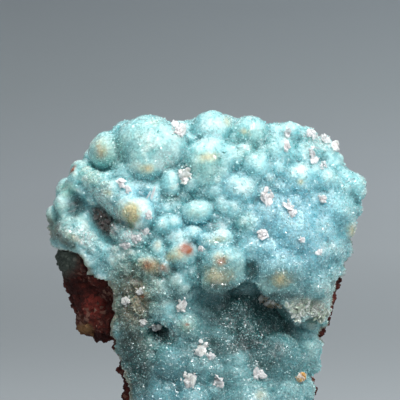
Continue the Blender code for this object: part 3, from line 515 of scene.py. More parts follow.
# Knobs: (x, z) in the front view, radius, how far the top stands out, and then for those that aren't round
# the sideways stretch and the roll in degrees.
KNOBS = [
    # the big cluster at the top left
    (-13.8, 76, 7.9, 6.4), (-9.8, 75.6, 5.4, 5.9), (-17.4, 77.4, 4.6, 5.9),
    (-14.6, 71.6, 4.6, 5.3, 1.05), (-24.5, 75, 4.9, 4.9), (-19.7, 78.8, 3.8, 3.6),
    (-19.2, 68.7, 3.4, 2.9), (-16.2, 65.7, 3, 2.3),
    # the far left edge above the hook
    (-30.2, 69.8, 3, 2.1), (-31.6, 70, 2.2, 1, 1.2, 50), (-34.9, 65.2, 2.9, 1.4),
    (-28.2, 73.4, 2.3, 0.9, 1.2, 40), (-31.2, 67, 2.4, 1.8),
    # the broken ridge that runs down above the hollow
    (-29.6, 68.3, 2.6, 2.6, 1, -35), (-27, 66.9, 2.9, 3.3, 1.2, -20), (-25, 64.9, 2.8, 3.6, 1.2, -60),
    (-22.2, 63.8, 3.7, 4.3, 1.15, -40), (-19.2, 60.8, 3.6, 4.9, 1.1, -60),
    (-16, 59.2, 3.4, 5.3, 1.2, -75), (-19.6, 64, 3.4, 4.2), (-13.2, 61.2, 3, 2.6, 0.9),
    # the hook below it
    (-38, 58.6, 2.6, 2.6, 0.9, 20), (-36.6, 55.6, 2.8, 2.6), (-32.7, 54.2, 3, 2.6, 1.1, -30),
    (-29.2, 52, 2.7, 2.4, 1.1, -30), (-26.7, 50, 2.4, 2.2), (-34.2, 52.2, 2.2, 1.6),
    # the frosted slope right of the hollow
    (-20.7, 54.5, 2.9, 1.8, 1.2, -30), (-17.2, 53, 3, 2.4, 1.3, 15), (-23.2, 48.7, 2.6, 1.6),
    (-18.7, 48.7, 2.6, 1.7, 1.2, 10),
    # the middle, with its lens-shaped knobs
    (-8.7, 66.5, 3.7, 3.2, 0.75), (-9, 61, 2, 1.7), (-5, 63.5, 2, 1.3), (-9.5, 56.5, 2.7, 3.2, 1.45, 5),
    (-2, 59.5, 3.1, 2.9, 1.3, 15), (4.2, 61.2, 2.4, 2, 0.8), (8.7, 65, 4.4, 3.5), (13, 70.7, 3.8, 3.3),
    (3, 66.5, 1.7, 1.6, 1.9, 38), (7.5, 61.2, 2.6, 1.9),
    # the top edge
    (1.7, 79.9, 5.2, 4.6), (1.7, 76.2, 2.8, 3.6, 1.3), (0, 72.5, 5.2, 4.6), (6, 73, 3.8, 3.2),
    (0.2, 68.5, 3.3, 2.8), (11.2, 79, 4.8, 4), (9.7, 75, 2.6, 2.4), (-8.2, 79.6, 2.2, 1.2),
    (-4.5, 79.8, 2.2, 1.2), (-3.7, 77.5, 2.4, 1.8),
    # the top right
    (17.5, 79.2, 3, 2.2), (21.2, 79, 3.2, 2.4), (25.2, 77.8, 3.2, 2.4), (29.7, 76, 2.8, 2),
    (31.2, 75, 2, 1.6), (18.7, 74.5, 4.2, 3), (17.7, 70.7, 2.8, 2.3, 0.9), (24.5, 73.7, 2.9, 2.2),
    (23.7, 67.2, 4.5, 3.3), (32, 71.5, 2.9, 2), (36.4, 66, 3.8, 2.6), (30, 67.5, 3.4, 2.4),
    (34.2, 68.2, 2.8, 2.2), (16.2, 68, 1.4, 1.9), (20, 65, 2.4, 1.4),
    # the swelling on the right
    (14.7, 59.2, 3.1, 2.4, 0.9, -20), (10.2, 57, 3.1, 2.5, 1, 25), (18.5, 59.5, 2.4, 1.9),
    (22.5, 54.5, 6.6, 4.6), (29, 55.5, 3.9, 3.2), (32, 60, 5, 3, 1.1), (35.2, 56.2, 3.6, 2.4, 0.9),
    (30.8, 50.5, 3.8, 3), (23.7, 59.7, 3, 2.2), (26.2, 62.7, 2.6, 1.7), (26.2, 48.7, 4.6, 4.2),
    (19.2, 44.7, 6, 5.6), (20.2, 40.7, 4.2, 4.6, 1.1), (26.6, 42.6, 3.8, 4, 1.15),
    (26.8, 40.4, 2.7, 4.6, 1.6, 12), (30.4, 44.8, 3.4, 3), (15.7, 50.2, 3, 2.8), (11.2, 51.2, 3, 2.2),
    (14.2, 47.2, 2.4, 2.2),
    # the bright bench across the middle and the knobs that hang from it
    (-6.8, 53.2, 2.6, 2.9, 1.3), (-3.2, 54, 2.2, 2.9, 1.2, 10), (0.4, 52.2, 2.2, 3, 1.2),
    (4.2, 52.8, 2.5, 3.2, 1.2, 10), (4.7, 55.5, 2.7, 2.4), (-5.5, 49.2, 3.8, 4.4),
    (-12, 50.5, 2.4, 2.4, 0.8), (-14.2, 46.7, 3, 2.8), (-10.7, 46, 2.5, 2.8), (-4.5, 45.5, 2.5, 2.6),
    (4.2, 46.4, 5.6, 5.2), (2.8, 42.8, 3.3, 5.6, 1.1), (-0.8, 49.2, 1.6, 2.8), (7.6, 48, 2.6, 3.2),
    # the lower left slope
    (-6.4, 42, 3.2, 2.8), (-11.2, 40.4, 3.1, 2.6), (-14.2, 40, 2.4, 1.4), (-19.7, 41.5, 2.6, 1.3),
    (-22, 46, 2.4, 1.2), (-19.7, 36.7, 2.6, 1.3), (-11.2, 36, 3, 2.4, 1.2), (-16.2, 34.5, 2.1, 1),
    (-4.5, 31.2, 3.7, 3.2),
    # the cream lip over the small dark hole
    (-14, 32.2, 1.5, 1.6), (-12.2, 31.5, 1.7, 2), (-10.5, 30.6, 1.6, 2.2), (-16, 30, 2.1, 1),
    (-19.2, 27.5, 2.4, 1),
    # the lower field, from the bowl down to the base
    (0.7, 32, 3, 1.2), (4.6, 31, 4.4, 2.2), (5.6, 25.6, 4.2, 2.4), (14.2, 30, 4.6, 0.9, 1.2),
    (24.5, 28.7, 3, 1.1), (26.2, 24.5, 3.6, 2.6, 0.8), (18, 23.4, 6, 4.2), (-14.6, 22.5, 3.6, 2.8, 0.9),
    (-8.6, 21.6, 4.4, 3.8), (0, 20.5, 3.8, 2.8), (7.7, 19, 4, 2.9), (10.8, 12.4, 6, 4.8),
    (20, 13.7, 4, 2.8), (25, 15, 3.2, 2.4, 0.9), (-2.8, 12.6, 4.2, 3.2), (-10.6, 14, 4.2, 3.6),
    (-14.7, 14.5, 2.8, 1.4, 0.9), (-12, 5.5, 3.6, 2.7), (-4, 3.7, 4.2, 3.1), (4, 4, 3.4, 1.8),
    (14, 3.5, 4.2, 3), (21.5, 5, 3.8, 2.8),
]
KNOB_GRID, KNOB_LEVELS = 0.7, 300  # the grid on which the knobs look for their places
SIDE_KNOBS, SIDE_KNOB_RADIUS, SIDE_KNOB_SUNK = 90, (1.7, 3.6), 0.6
BUDS, BUD_RADIUS, BUD_LIFT = 300, (1.2, 2.8), 0.24  # the small balls that fill in between the knobs
RIM_SLOPE, RIM_DIVE = 5.0, 2.5  # how steeply the crust falls at its rim, and how deep into the rock
GROUND, EDGE_GROUND = 1.5, 0.2  # how high the crust stands between the knobs, in front and along its outline
LEFT_GROUND, KNOB_LIFT = 1.0, 0.5  # how much higher it stands at the left, and the knobs everywhere in front
TOP_DROP = 1.6  # how far it lies back between the knobs of the top edge
SWELL = [(23, 50, 13, 13, 1.7)]  # on the right the knobs are half drowned in the crust
LIP_SAG, LIP_REACH = 1.8, 1.8  # how far the edge of the ledge hangs down, and how far back the sag reaches

# The crease round a knob is rounded by a share of the knob's radius and by a little more, which is larger at
# the left. Near the top it has a limit, so that the outline stays knobbly.
CREASE_SHARE, CREASE_MORE, CREASE_LEFT, LEFT_OF = 0.36, 0.6, 1.6, -28
CREASE_LIMIT, LIMIT_ABOVE = 2.2, 70

# Small domes all over the crust: (size, seed, tilt, dome), their relief, and how much more where it crumbles.
SMALL_DOMES, FINE_DOMES, BROAD_DOMES = (1.9, 31, 1.0, 1.8), (0.9, 57, 1.2, 1.8), (3.8, 83, 1.0, 1.5)
SMALL_RELIEF, FINE_RELIEF, BROAD_RELIEF = (0.14, 0.6), (0.1, 0.35), 0.5
DOME_LEVEL, BROAD_LEVEL = 0.15, 0.32  # taken off again, so that the crust grows no thicker

# Where the crust is broken or crumbly, not smooth: (x, z, half width, half height, strength, and the roll in
# degrees if tilted).
CRUMBLY = [
    (-25.6, 57.2, 7, 3.6, 1, -54), (-17, 38, 7, 12.5, 1, 5), (-17.5, 52.5, 6.5, 3.6, 0.9, 20),
    (-28.6, 52.4, 4.2, 2.6, 1, -45), (-18.5, 18, 3.6, 11, 0.7), (28, 77, 6, 3.6, 0.55, -22),
    (-1, 53, 7, 2, 0.35), (-26.5, 65.5, 7.5, 3.5, 0.6, -42), (-9, 62.8, 3.2, 1.6, 0.5),
    (-33, 55, 3, 3, 0.7, -45), (-9, 30, 5, 3, 0.6, -15), (25, 35, 7, 3.4, 0.75),
]
PATCHED_BACK_TO = 4  # the patches are painted from the front and reach back to this y


def patches(points, ovals, full=0.35, gone=1.3):
    """The strongest of several soft ovals seen from the front: solid inside one radius, gone by another."""
    strength = np.zeros(points.shape[:-1])
    for share in soft_ovals(*seen(points), ovals, full, gone):
        strength = np.maximum(strength, share * (points[..., 1] < PATCHED_BACK_TO))
    return strength


def add_knob(height, place, normal, row, softness):
    """Raises a height field to where each normal leaves one ellipsoid, with a rounded crease round it."""
    middle, radius, stretch, roll = row
    near = np.abs(place - middle).max(axis=-1) < radius * max(stretch, 1) + 6
    turn = math.radians(roll)
    across = np.array([math.cos(turn), 0, math.sin(turn)]) / (radius * stretch)
    along = np.array([-math.sin(turn), 0, math.cos(turn)]) / radius
    squeeze = np.stack([across, [0, 1 / radius, 0], along])
    start, way = (place[near] - middle) @ squeeze.T, normal[near] @ squeeze.T
    a, b, c = (way**2).sum(-1), (start * way).sum(-1), (start**2).sum(-1) - 1
    inside = b * b - a * c
    top = np.where(inside > 0, (np.sqrt(np.maximum(inside, 0)) - b) / a, -99.0)
    mix = np.maximum(softness - np.abs(height[near] - top), 0) / softness
    height[near] = np.maximum(height[near], top) + mix * mix * softness / 4


def knob_height(place, normal, rows):
    """The union of all the knobs and buds on the body."""
    x, z = place[..., 0], place[..., 2]
    ground = EDGE_GROUND + (GROUND - EDGE_GROUND) * facing(normal, 0.7)
    ground = ground + LEFT_GROUND * smooth_step(-27, -31, x) * smooth_step(75, 68, z)
    height = relief(place, normal) + ground - (ground + TOP_DROP) * smooth_step(73, 80, z)
    height += patches(place, SWELL)
    for row in rows:
        middle, radius = row[:2]
        softness = CREASE_SHARE * radius + (CREASE_MORE if middle[0] > LEFT_OF else CREASE_LEFT)
        softness = softness if middle[2] < LIMIT_ABOVE else min(softness, CREASE_LIMIT)
        add_knob(height, place, normal, row, softness)
    return height


def knob_rows():
    """Every knob as (middle, radius, stretch, roll): the listed ones, seeded ones on the sides, and buds."""
    angle, level = np.meshgrid(
        columns(-math.pi, math.pi, KNOB_GRID, KNOB_GRID), np.linspace(BASE_LEVEL, 1, KNOB_LEVELS)
    )
    place, normal = body(angle, level), outward(angle, level)
    front = normal[..., 1] < 0.25
    rows = []
    shown_x, shown_z = seen(place)
    for x, z, radius, stand, *oval in KNOBS:
        away = np.where(front, np.hypot(shown_x - x, shown_z - z), 1e9)
        spot = np.unravel_index(away.argmin(), away.shape)
        base = relief(place[spot], normal[spot]) + stand + KNOB_LIFT * facing(normal[spot], 0.7) - radius
        y = place[spot][1] + normal[spot][1] * base
        away_x, away_z = ((at - middle) * (1 + y / VIEW_DISTANCE) for at, middle in zip((x, z), VIEW_MIDDLE))
        stretch, roll = oval + [1.0, 0][len(oval) :]
        rows.append((np.array([VIEW_MIDDLE[0] + away_x, y, VIEW_MIDDLE[1] + away_z]), radius, stretch, roll))
    draw = np.random.default_rng(12)
    while len(rows) < len(KNOBS) + SIDE_KNOBS:
        spot = draw.integers(angle.shape[0]), draw.integers(angle.shape[1])
        radius = draw.uniform(*SIDE_KNOB_RADIUS)
        if cover(place[spot]) > 0 and normal[spot][1] > -0.45:
            rows.append((place[spot] - normal[spot] * SIDE_KNOB_SUNK * radius, radius, 1.0, 0))
    height = knob_height(place, normal, rows)
    stand = height - relief(place, normal)
    buds = []
    while len(buds) < BUDS:
        spot = draw.integers(angle.shape[0]), draw.integers(angle.shape[1])
        radius = draw.uniform(*BUD_RADIUS)
        if cover(place[spot]) > 0 and stand[spot] < GROUND + 0.9 and normal[spot][2] < 0.6:
            middle = place[spot] + normal[spot] * (height[spot] - radius * (1 - BUD_LIFT))
            buds.append((middle, radius, draw.uniform(0.8, 1.4), draw.uniform(-60, 60)))
    return rows + buds


def crust_height(place, normal):
    """The union of the knobs, with small domes on it, crumbly where it is broken, and cut off at the rim."""
    inside = cover(place)
    crumbly = np.maximum(patches(place, CRUMBLY), 1 - smooth_step(0.3, 2.2, inside))
    small, fine, broad = (facets(place, *domes) for domes in (SMALL_DOMES, FINE_DOMES, BROAD_DOMES))
    wrinkle = (SMALL_RELIEF[0] + SMALL_RELIEF[1] * crumbly) * small
    wrinkle = wrinkle + (FINE_RELIEF[0] + FINE_RELIEF[1] * crumbly) * fine - DOME_LEVEL
    wrinkle += BROAD_RELIEF * broad - BROAD_LEVEL
    rim = np.maximum(RIM_SLOPE * (inside + 0.3), rock_height(place, normal) - RIM_DIVE)
    return np.minimum(knob_height(place, normal, KNOB_ROWS), rim) + wrinkle


# The colour patches on the crust, by the name of their mask, each listed like the crumbly places. The smooth
# white knobs are the ones that hardly any druse covers.
SMOOTH_WHITE = [(-14.2, 77.2, 3.6, 4, 0.7), (1.4, 81.2, 4.4, 3.4, 0.6), (-6.4, 53.4, 4.8, 2.2, 0.55, -5)]
PATCHES = {
    "tan": [
        (-15.4, 76.4, 3.4, 4.4, 0.35), (-14, 81.8, 5, 1.4, 0.4), (-14.5, 70.3, 3, 1.9, 0.8),
        (-26, 75.2, 2, 3.4, 0.65), (1, 73.2, 3.6, 1.6, 0.75, 5), (9.8, 79.6, 2.2, 1.4, 0.75, -20),
        (5.6, 82, 1.4, 2, 0.6, 30), (23.9, 67, 1.3, 1.2, 0.7), (29.6, 62.8, 1.4, 1.4, 0.5),
        (36.6, 54.8, 2, 3.2, 0.75, 20), (3.6, 43.8, 5.2, 3.6, 0.6), (4, 47.6, 3, 2.6, 0.7),
        (18.9, 42.8, 3.2, 2.6, 0.9), (-6.6, 48.9, 3.2, 2.4, 0.75, 30), (-13.2, 46, 5.4, 2.7, 0.8),
        (-8, 48.4, 3, 2, 0.8, 20), (-15.6, 38.9, 2, 1.6, 0.6), (-11.8, 51.4, 1.4, 2.2, 0.6),
        (-18.7, 59.8, 3.4, 3.8, 1, -10), (-18.2, 58.4, 2.6, 3.2, 1), (-24.4, 64.4, 1.8, 1.2, 0.6, -30),
        (3.2, 52.4, 4.6, 1.5, 0.55, 5), (-4.6, 31, 2.6, 2.4, 0.45), (13.8, 13.6, 2, 1.8, 0.5),
        (-1.6, 58.8, 1.8, 1.2, 0.35, 15), (33.6, 76.8, 1.6, 3, 0.5, 30), (-17, 36.5, 5, 8, 0.5),
        (-33, 53.2, 3.4, 1.6, 0.6, -35),
    ],
    "orange": [
        (-4.6, 50.2, 2.6, 2.3, 1), (-6.6, 48.6, 1.6, 1.3, 0.45), (4.1, 47.2, 2.2, 1.5, 0.75),
        (-14.4, 46.2, 2, 1.9, 0.7), (-10.6, 45.6, 2.1, 1.9, 0.8), (-15.6, 38.4, 0.8, 0.7, 0.8),
        (-4.4, 31.4, 0.7, 0.6, 0.8), (-25.6, 73.6, 0.8, 1.2, 0.5, 20), (-11.8, 51, 0.7, 1.5, 0.4),
        (18.9, 43, 1.2, 1, 0.3), (-32.9, 70.3, 0.55, 2, 1, -38),
    ],
    "white": [
        (-25.4, 61.9, 8.8, 1.4, 0.9, -44.5), (-30.3, 53, 5.4, 2.4, 0.9, -55),
        (-17.4, 52.8, 3.8, 1.3, 1, 38), (28.6, 77.4, 6, 2.2, 0.8, -18), (24.4, 70.4, 2.4, 1.8, 0.8),
        (-16, 61, 3, 3.2, 0.65), (3.6, 55.2, 3.2, 3.6, 0.6), (28.4, 40.8, 5, 2, 0.55, 10),
        (30.8, 50.4, 3, 2.6, 0.55), (29.2, 56, 3, 2.4, 0.5), (10, 66, 3.2, 2.8, 0.55),
        (26.8, 24, 1.8, 6, 0.5), (-19, 53.6, 5.4, 2, 0.9, 40), (-33, 55.6, 5, 2.4, 0.6, -30),
        (-29, 52.4, 3.4, 1.8, 0.6, -35), (0.6, 76.8, 3.4, 2, 0.6), (-20.6, 73.8, 1.8, 3.4, 0.3),
        (20.4, 77.6, 1.2, 3.4, 0.8), (-4.5, 32, 2.8, 1.6, 0.4), (-8.6, 29.4, 2.4, 1.6, 0.5, -20),
        # the second and third ovals on the next line light the big dome's lower right flank: painted light
        (13.6, 13, 4, 2.4, 0.6), (-8.2, 74.5, 2.6, 4.8, 0.6), (-10, 72.6, 3.6, 3.8, 0.8),
        (24, 33.8, 3.6, 1.4, 0.5, -10),
    ] + SMOOTH_WHITE,
    "green": [
        (10, 57, 3.2, 2.8, 0.5, 20), (-24, 74.5, 5, 4.6, 0.7), (-34.4, 65, 2.6, 2.6, 0.9),
        (-17.5, 40, 7, 12, 0.8), (-29, 69, 5, 3.4, 0.5, -30), (3, 43.4, 6, 4, 0.5), (19, 42, 4.6, 3.4, 0.5),
        (28, 34, 5, 3.2, 0.7), (-16, 26, 6, 6, 0.6), (-4.5, 31, 3.6, 3.2, 0.5), (-36.5, 57, 3.4, 5, 0.5),
        (0, 71, 6, 5, 0.5), (-13.8, 76, 8, 7, 0.35), (11, 77, 6, 5, 0.3), (-2, 59.5, 3.4, 2.4, 0.35, 15),
    ],
    "brown": [
        (-26.6, 74.8, 1.6, 2.6, 0.6), (-25.2, 57.4, 6, 3, 0.9, -54), (-23, 49.5, 2.6, 3, 0.4),
        (-17.5, 36, 4.5, 9, 0.45, 5), (-36, 55, 2, 3, 0.5, 20), (16, 37.4, 4, 1, 0.5, -15),
        (-4, 60, 4, 1.5, 0.25),
    ],
    "blue": [
        (22, 56, 15, 16, 0.9), (-16, 62, 6, 5, 0.7, -30), (8, 66, 5, 5, 0.5), (-10, 12, 12, 14, 0.6),
        (10, 6, 12, 8, 0.6), (0, 55, 10, 5, 0.5),
    ],
    "ice": [
        (25.5, 35.6, 6.6, 3.2, 1, -5), (31.5, 40, 1.8, 6, 0.6, -12),
    ],
    # olive grey stain; the ovals under the broken lip and under the hook are painted shade
    "olive_and_shade": [
        (-9, 62.8, 3.8, 2, 0.5), (-25, 76, 3, 3.6, 0.45, 20), (-10.5, 40.5, 9, 8, 0.5),
        (-17.5, 24, 5, 13, 0.85, 5), (-23.6, 59.6, 6.5, 1.6, 0.9, -50), (-19, 37.5, 7, 12, 0.85, 5),
        (-38.6, 55.6, 2.4, 4.6, 0.8, 25), (-34.6, 52, 4.4, 1.4, 0.8, -35), (3.4, 42.6, 4.2, 2.6, 0.8),
        (18.6, 43, 4.4, 3.2, 0.5), (-16, 27, 5, 5, 0.6),
    ],
    # painted shade: ovals that darken the lower field, the undersides of the knobs over the bowl, the small
    # dark hole, and the places under the ledge, the broken lip and the hook
    "painted_shade": [
        (-18, 24, 4.5, 13, 0.5, 5), (4, 20, 26, 20, 0.34), (3.9, 45, 6.8, 5.4, 0.42),
        (3.4, 41, 5.6, 2.4, 0.65), (19.6, 42.6, 7.5, 5, 0.45), (7, 37.4, 14, 4, 0.6),
        (-10.5, 20, 9.5, 9, 0.75), (21, 23.5, 8, 7, 0.75), (19, 38.6, 6, 1.8, 0.6, -10),
        (-12.2, 29.3, 3.2, 2.8, 1, -10), (-18, 37, 7, 10, 0.4, 5), (-23.2, 59.4, 7, 1.8, 0.8, -48),
        (-38.4, 54.6, 2, 4.6, 0.6, 25), (-34.4, 51, 5, 1.2, 0.7, -35), (11, 27, 6, 3.6, 0.85),
        (-32.6, 61, 3, 4, 0.5), (-36, 56, 6, 7, 0.25), (-16, 21, 6, 9, 0.3),
    ],
    # deep teal: partly the crust's own deeper colour, partly painted shade in the bowl under the ledge, under
    # the knobs that hang over it and in the small dark hole
    "deep": [
        (3.9, 43.6, 6.6, 5.4, 0.55), (3.4, 40.6, 6, 2, 0.8), (19.8, 42.6, 7, 5, 0.5),
        (20, 38.6, 7, 1.8, 0.8), (-18, 20, 7, 10, 0.8), (12, 33, 15, 8, 1), (15, 24, 7, 7, 0.8),
        (-10, 28.5, 4.5, 2.6, 1, -15), (0, 26, 9, 8, 0.55), (-32.4, 60.6, 3, 4, 0.8),
        (11.6, 45.2, 2.6, 3.4, 0.8), (-12, 20, 9, 9, 0.4), (4, 18, 26, 22, 0.4), (9, 37, 8, 3, 0.9),
        (16, 35.6, 6, 2, 1, -20), (11, 27.5, 6, 4, 1), (4, 26, 8, 4, 0.8),
    ],
}
PATCH_EDGES = {"tan": (0, 1.5), "orange": (0, 1.6)}  # softer than the others: solid and gone, in radii

# The crust's colours, from its deep places to its crests, the stains on them, and the painted shade that
# darkens them.
CRUST_SHADES = [(0.05, "#69AFB4"), (0.3, "#7DBFC3"), (0.5, "#8ECACE"), (0.72, "#A3D4D5"), (0.95, "#BCE0DB")]
BLUER, GREENER, PAINTED_SHADE_TINT = (0.86, 0.98, 1.1), (1.05, 0.95, 0.8), (0.14, 0.37, 0.38)  # times the colour
DARK_EARTH, PALE_EARTH, OLIVE_GREY, DEEP_TEAL_AND_SHADE = "#5A4C44", "#BCA8A2", "#74806E", "#2E6A69"
ICE_GREY, RIM_OLIVE, CREAM_TAN, RUST_ORANGE = "#B4C3B6", "#7F8370", "#D2C69A", "#954A18"
# the grains' white also paints their glints, a painted highlight
CRUST_WHITE_AND_LIGHT, GRAIN_WHITE_AND_GLINT, CRUST_DEPTH, GRAIN_DEPTH = "#D5EDEA", "#B9E6E4", 6.5, 0.3
GRAIN_SIZE, CALM_GRAINS, ROUGH_GRAINS = 0.38, (0.79, 1.13), (0.68, 1.25)  # darkest and lightest grain


def hemimorphite(name, depth, white):
    """Botryoidal hemimorphite as grown: a waxy, light-holding skin, sugared with crystal faces that glint.

    Depth is how many millimetres light wanders inside: several in the crust, a fraction in a single grain.
    """
    material, tree, place = new_material(name)
    mask = {layer: painted(tree, layer) for layer in (*PATCHES, "crest_light_and_shade", "rim", "sugar")}
    cloud, fleck = noise(tree, place, 4, 5.0, 0.6), noise(tree, place, 0.9, 5.0, 0.75)
    mottle = add(tree, "Mix", {0: 0.5, 2: fleck, 3: cloud}).outputs[0]

    def stained(colour, layer, ragged, stain):
        """The colour stained by a mask whose soft edge is eaten by noise, fine and broad."""
        ragged_share = of_values(tree, "ADD", mask[layer], spread(tree, mottle, 0.38, 0.62, -ragged, ragged))
        limited = of_values(tree, "MULTIPLY", ragged_share, mask[layer])
        return blend(tree, spread(tree, limited, 0.02, 0.75), colour, stain)

    # paleness by relief: partly painted highlight on the crests and painted shade in the creases and
    # undersides
    crest_light_and_shade = of_values(tree, "ADD", mask["crest_light_and_shade"], spread(tree, cloud, 0.3, 0.7, -0.22, 0.2))
    colour = shades(tree, crest_light_and_shade, CRUST_SHADES)
    colour = blend(tree, mask["blue"], colour, of_vectors(tree, "MULTIPLY", colour, BLUER))
    colour = blend(tree, mask["green"], colour, of_vectors(tree, "MULTIPLY", colour, GREENER))
    chip = spread(tree, channel(tree, grain_colours(tree, place, 0.8), 1), 0.3, 1.0)
    colour = stained(colour, "olive_and_shade", 0.35, linear(OLIVE_GREY))
    colour = stained(colour, "brown", 0.3, blend(tree, chip, linear(DARK_EARTH), linear(PALE_EARTH)))
    # deep teal, partly painted shade
    colour = stained(colour, "deep", 0.3, linear(DEEP_TEAL_AND_SHADE))
    # painted shade: the colour multiplied darker inside the painted shade ovals
    colour = blend(tree, mask["painted_shade"], colour, of_vectors(tree, "MULTIPLY", colour, PAINTED_SHADE_TINT))
    for layer, ragged, stain in (
        ("ice", 0.3, ICE_GREY), ("white", 0.35, white), ("rim", 0.3, RIM_OLIVE),
        ("tan", 0.35, CREAM_TAN), ("orange", 0.3, RUST_ORANGE),
    ):
        colour = stained(colour, layer, ragged, linear(stain))

    grains = grain_colours(tree, place, GRAIN_SIZE)
    grain = channel(tree, grains, 0)
    calm, rough = (spread(tree, grain, 0.0, 1.0, *ends) for ends in (CALM_GRAINS, ROUGH_GRAINS))
    colour = times(tree, colour, add(tree, "Mix", {0: mask["sugar"], 2: calm, 3: rough}).outputs[0])
    tilt = times(tree, of_vectors(tree, "SUBTRACT", grains, (0.5, 0.5, 0.5)), 1.1)
    glint = of_vectors(tree, "ADD", add(tree, "NewGeometry", {}).outputs["Normal"], tilt)
    bump = add(tree, "Bump", {"Height": fleck, "Distance": 0.16 * MM, "Strength": 0.8}).outputs[0]
    shader = add(tree, "BsdfPrincipled", {
        "Base Color": colour, "Roughness": 0.42, "IOR": 1.62, "Normal": bump,
        "Subsurface Weight": 1.0, "Subsurface Radius": (0.65, 1.0, 1.0), "Subsurface Scale": depth * MM,
        "Coat Weight": 1.0, "Coat Roughness": 0.08, "Coat IOR": 1.62,
        "Coat Normal": of_vectors(tree, "NORMALIZE", glint),
    })
    add(tree, "OutputMaterial", {"Surface": shader.outputs[0]})
    return material


KNOB_ROWS = knob_rows()
CRUST_TURN, CRUST_COARSE = math.radians(112), 3.0  # the fine grid goes this far round to either side
crust_angles = columns(-CRUST_TURN, CRUST_TURN, FINE, CRUST_COARSE)
crust_levels = even_levels(crust_angles, crust_height, FINE)
crust_surface = lofted_surface(crust_angles, crust_levels, crust_height)
shown_x, shown_z = seen(crust_surface)
above = shown_z - np.interp(shown_x, *zip(*LEDGE))
across = across_bowl(shown_x) * (crust_surface[..., 1] < 0)
crust_surface[..., 2] -= LIP_SAG * np.exp(-(((above - 1.0) / LIP_REACH) ** 2)) * across
crust_points = with_poles(crust_surface)

# How pale the skin is by its relief: what stands out of its surroundings is paler, partly the crust's own
# milky caps and partly painted highlight, and creases and undersides are deeper, which is painted shade.
# Listed are how far round the relief is measured, how much of it counts in full, and its weight.
RELIEF_TONES, UNDERSIDE_PAINTED_SHADE = [(0.8, 0.3, 0.22), (2.4, 0.9, 0.14)], 0.3
TONE, UPPER_TONE, LOWER_CONTRAST = 0.4, 0.15, 0.5  # the lower part is a little deeper and less contrasty
angle_grid = np.broadcast_to(crust_angles, crust_levels.shape)
smooth_place, smooth_normal = body(angle_grid, crust_levels), outward(angle_grid, crust_levels)
stand = ((crust_surface - smooth_place) * smooth_normal).sum(axis=-1)
cell = 1 / FINE
tone = sum(
    weight * (stand - blur(stand, reach * cell, reach * cell)) / full for reach, full, weight in RELIEF_TONES
)
grid_normal = surface_normal(crust_surface)
# undersides painted darker: painted shade
tone = tone - UNDERSIDE_PAINTED_SHADE * smooth_step(0.1, 0.8, -grid_normal[..., 2])
contrast = LOWER_CONTRAST + (1 - LOWER_CONTRAST) * smooth_step(30, 42, shown_z)
crest_light_and_shade = np.clip(TONE + UPPER_TONE * contrast + tone * contrast, 0, 1)
rim = 1 - smooth_step(0.2, 2.2, cover(smooth_place))

# How thickly the druse grows: most in the creases, the bowl and the crumbly places and on the right, and
# hardly at all on the smooth white knobs.
right = smooth_step(2, 14, crust_surface[..., 0]) * (1 - smooth_step(64, 72, crust_surface[..., 2]))
sugar = np.clip(0.3 + 1.6 * (0.5 - crest_light_and_shade), 0.02, 1)
sugar = np.maximum(sugar, patches(crust_surface, PATCHES["deep"]))
sugar = np.maximum(sugar, 0.8 * patches(crust_surface, CRUMBLY))
sugar = np.maximum(sugar, 0.5 * right)
sugar *= 1 - 0.9 * patches(crust_surface, SMOOTH_WHITE, 0.8, 2.2)
layers = {"crest_light_and_shade": crest_light_and_shade, "rim": rim, "sugar": sugar}
layers = {name: np.append(field.ravel(), [0.5, 0.5]) for name, field in layers.items()}
for name, ovals in PATCHES.items():
    layers[name] = patches(crust_points, ovals, *PATCH_EDGES.get(name, ()))
crust = make_piece(
    "hemimorphite_skin", crust_points, closed_faces(*crust_levels.shape),
    hemimorphite("hemimorphite_botryoidal", CRUST_DEPTH, CRUST_WHITE_AND_LIGHT), "hemimorphite", **layers,
)
crust.data.shade_smooth()
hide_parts("hemimorphite_crust")

# THE DRUSE
# The last and smallest hemimorphite: two layers of stubby clear crystals, about 0.4 and 0.3 mm long, that
# stand on the crust like sugar and glint. They are thickest in the bowl, in the creases and on the right.
DRUSE_GRAINS, DRUSE_LENGTH, DRUSE_LEAN, DRUSE_SUNK = 22000, 0.42, 0.45, 0.2
FINE_GRAINS, FINE_LENGTH, FINE_LEAN, FINE_SUNK = 45000, 0.34, 0.5, 0.08
LENGTH_SPREAD, DEEP_SHORTER = 0.25, 0.35
GLINT_SHARE, DEEP_GLINT_SHARE, FINE_GLINT_SHARE = 0.05, 0.24, 0.22  # the share of the grains painted white as glints, a painted highlight
GROWN_ROWS = slice(2, -6)  # the rows of the crust's grid that grains stand on, clear of its foot and its top


def tents(foot, along, across, length, width):
    """Grains with a chisel tip: four corners at the foot and a ridge above them, eight triangles each."""
    third = np.cross(along, across) * (width * 0.36)[:, None]
    side = across * (width / 2)[:, None]
    top, half = foot + along * length[:, None], side * 0.55
    base = [foot + side + third, foot - side + third, foot - side - third, foot + side - third]
    faces = np.array([(0, 1, 5), (0, 5, 4), (1, 2, 5), (2, 3, 4), (2, 4, 5), (3, 0, 4), (0, 2, 1), (0, 3, 2)])
    return joined(np.stack(base + [top + half, top - half], axis=1), faces)


def pyramids(foot, along, across, length, width):
    """The finest grains: three corners at the foot and a tip, four triangles each."""
    third = np.cross(along, across)
    turn = np.arange(3) * 2 * math.pi / 3
    ring = across[:, None] * np.cos(turn)[:, None] + third[:, None] * np.sin(turn)[:, None]
    ring = foot[:, None] + ring * (width / 2)[:, None, None]
    points = np.concatenate([ring, (foot + along * length[:, None])[:, None]], axis=1)
    return joined(points, np.array([(0, 1, 3), (1, 2, 3), (2, 0, 3), (0, 2, 1)]))


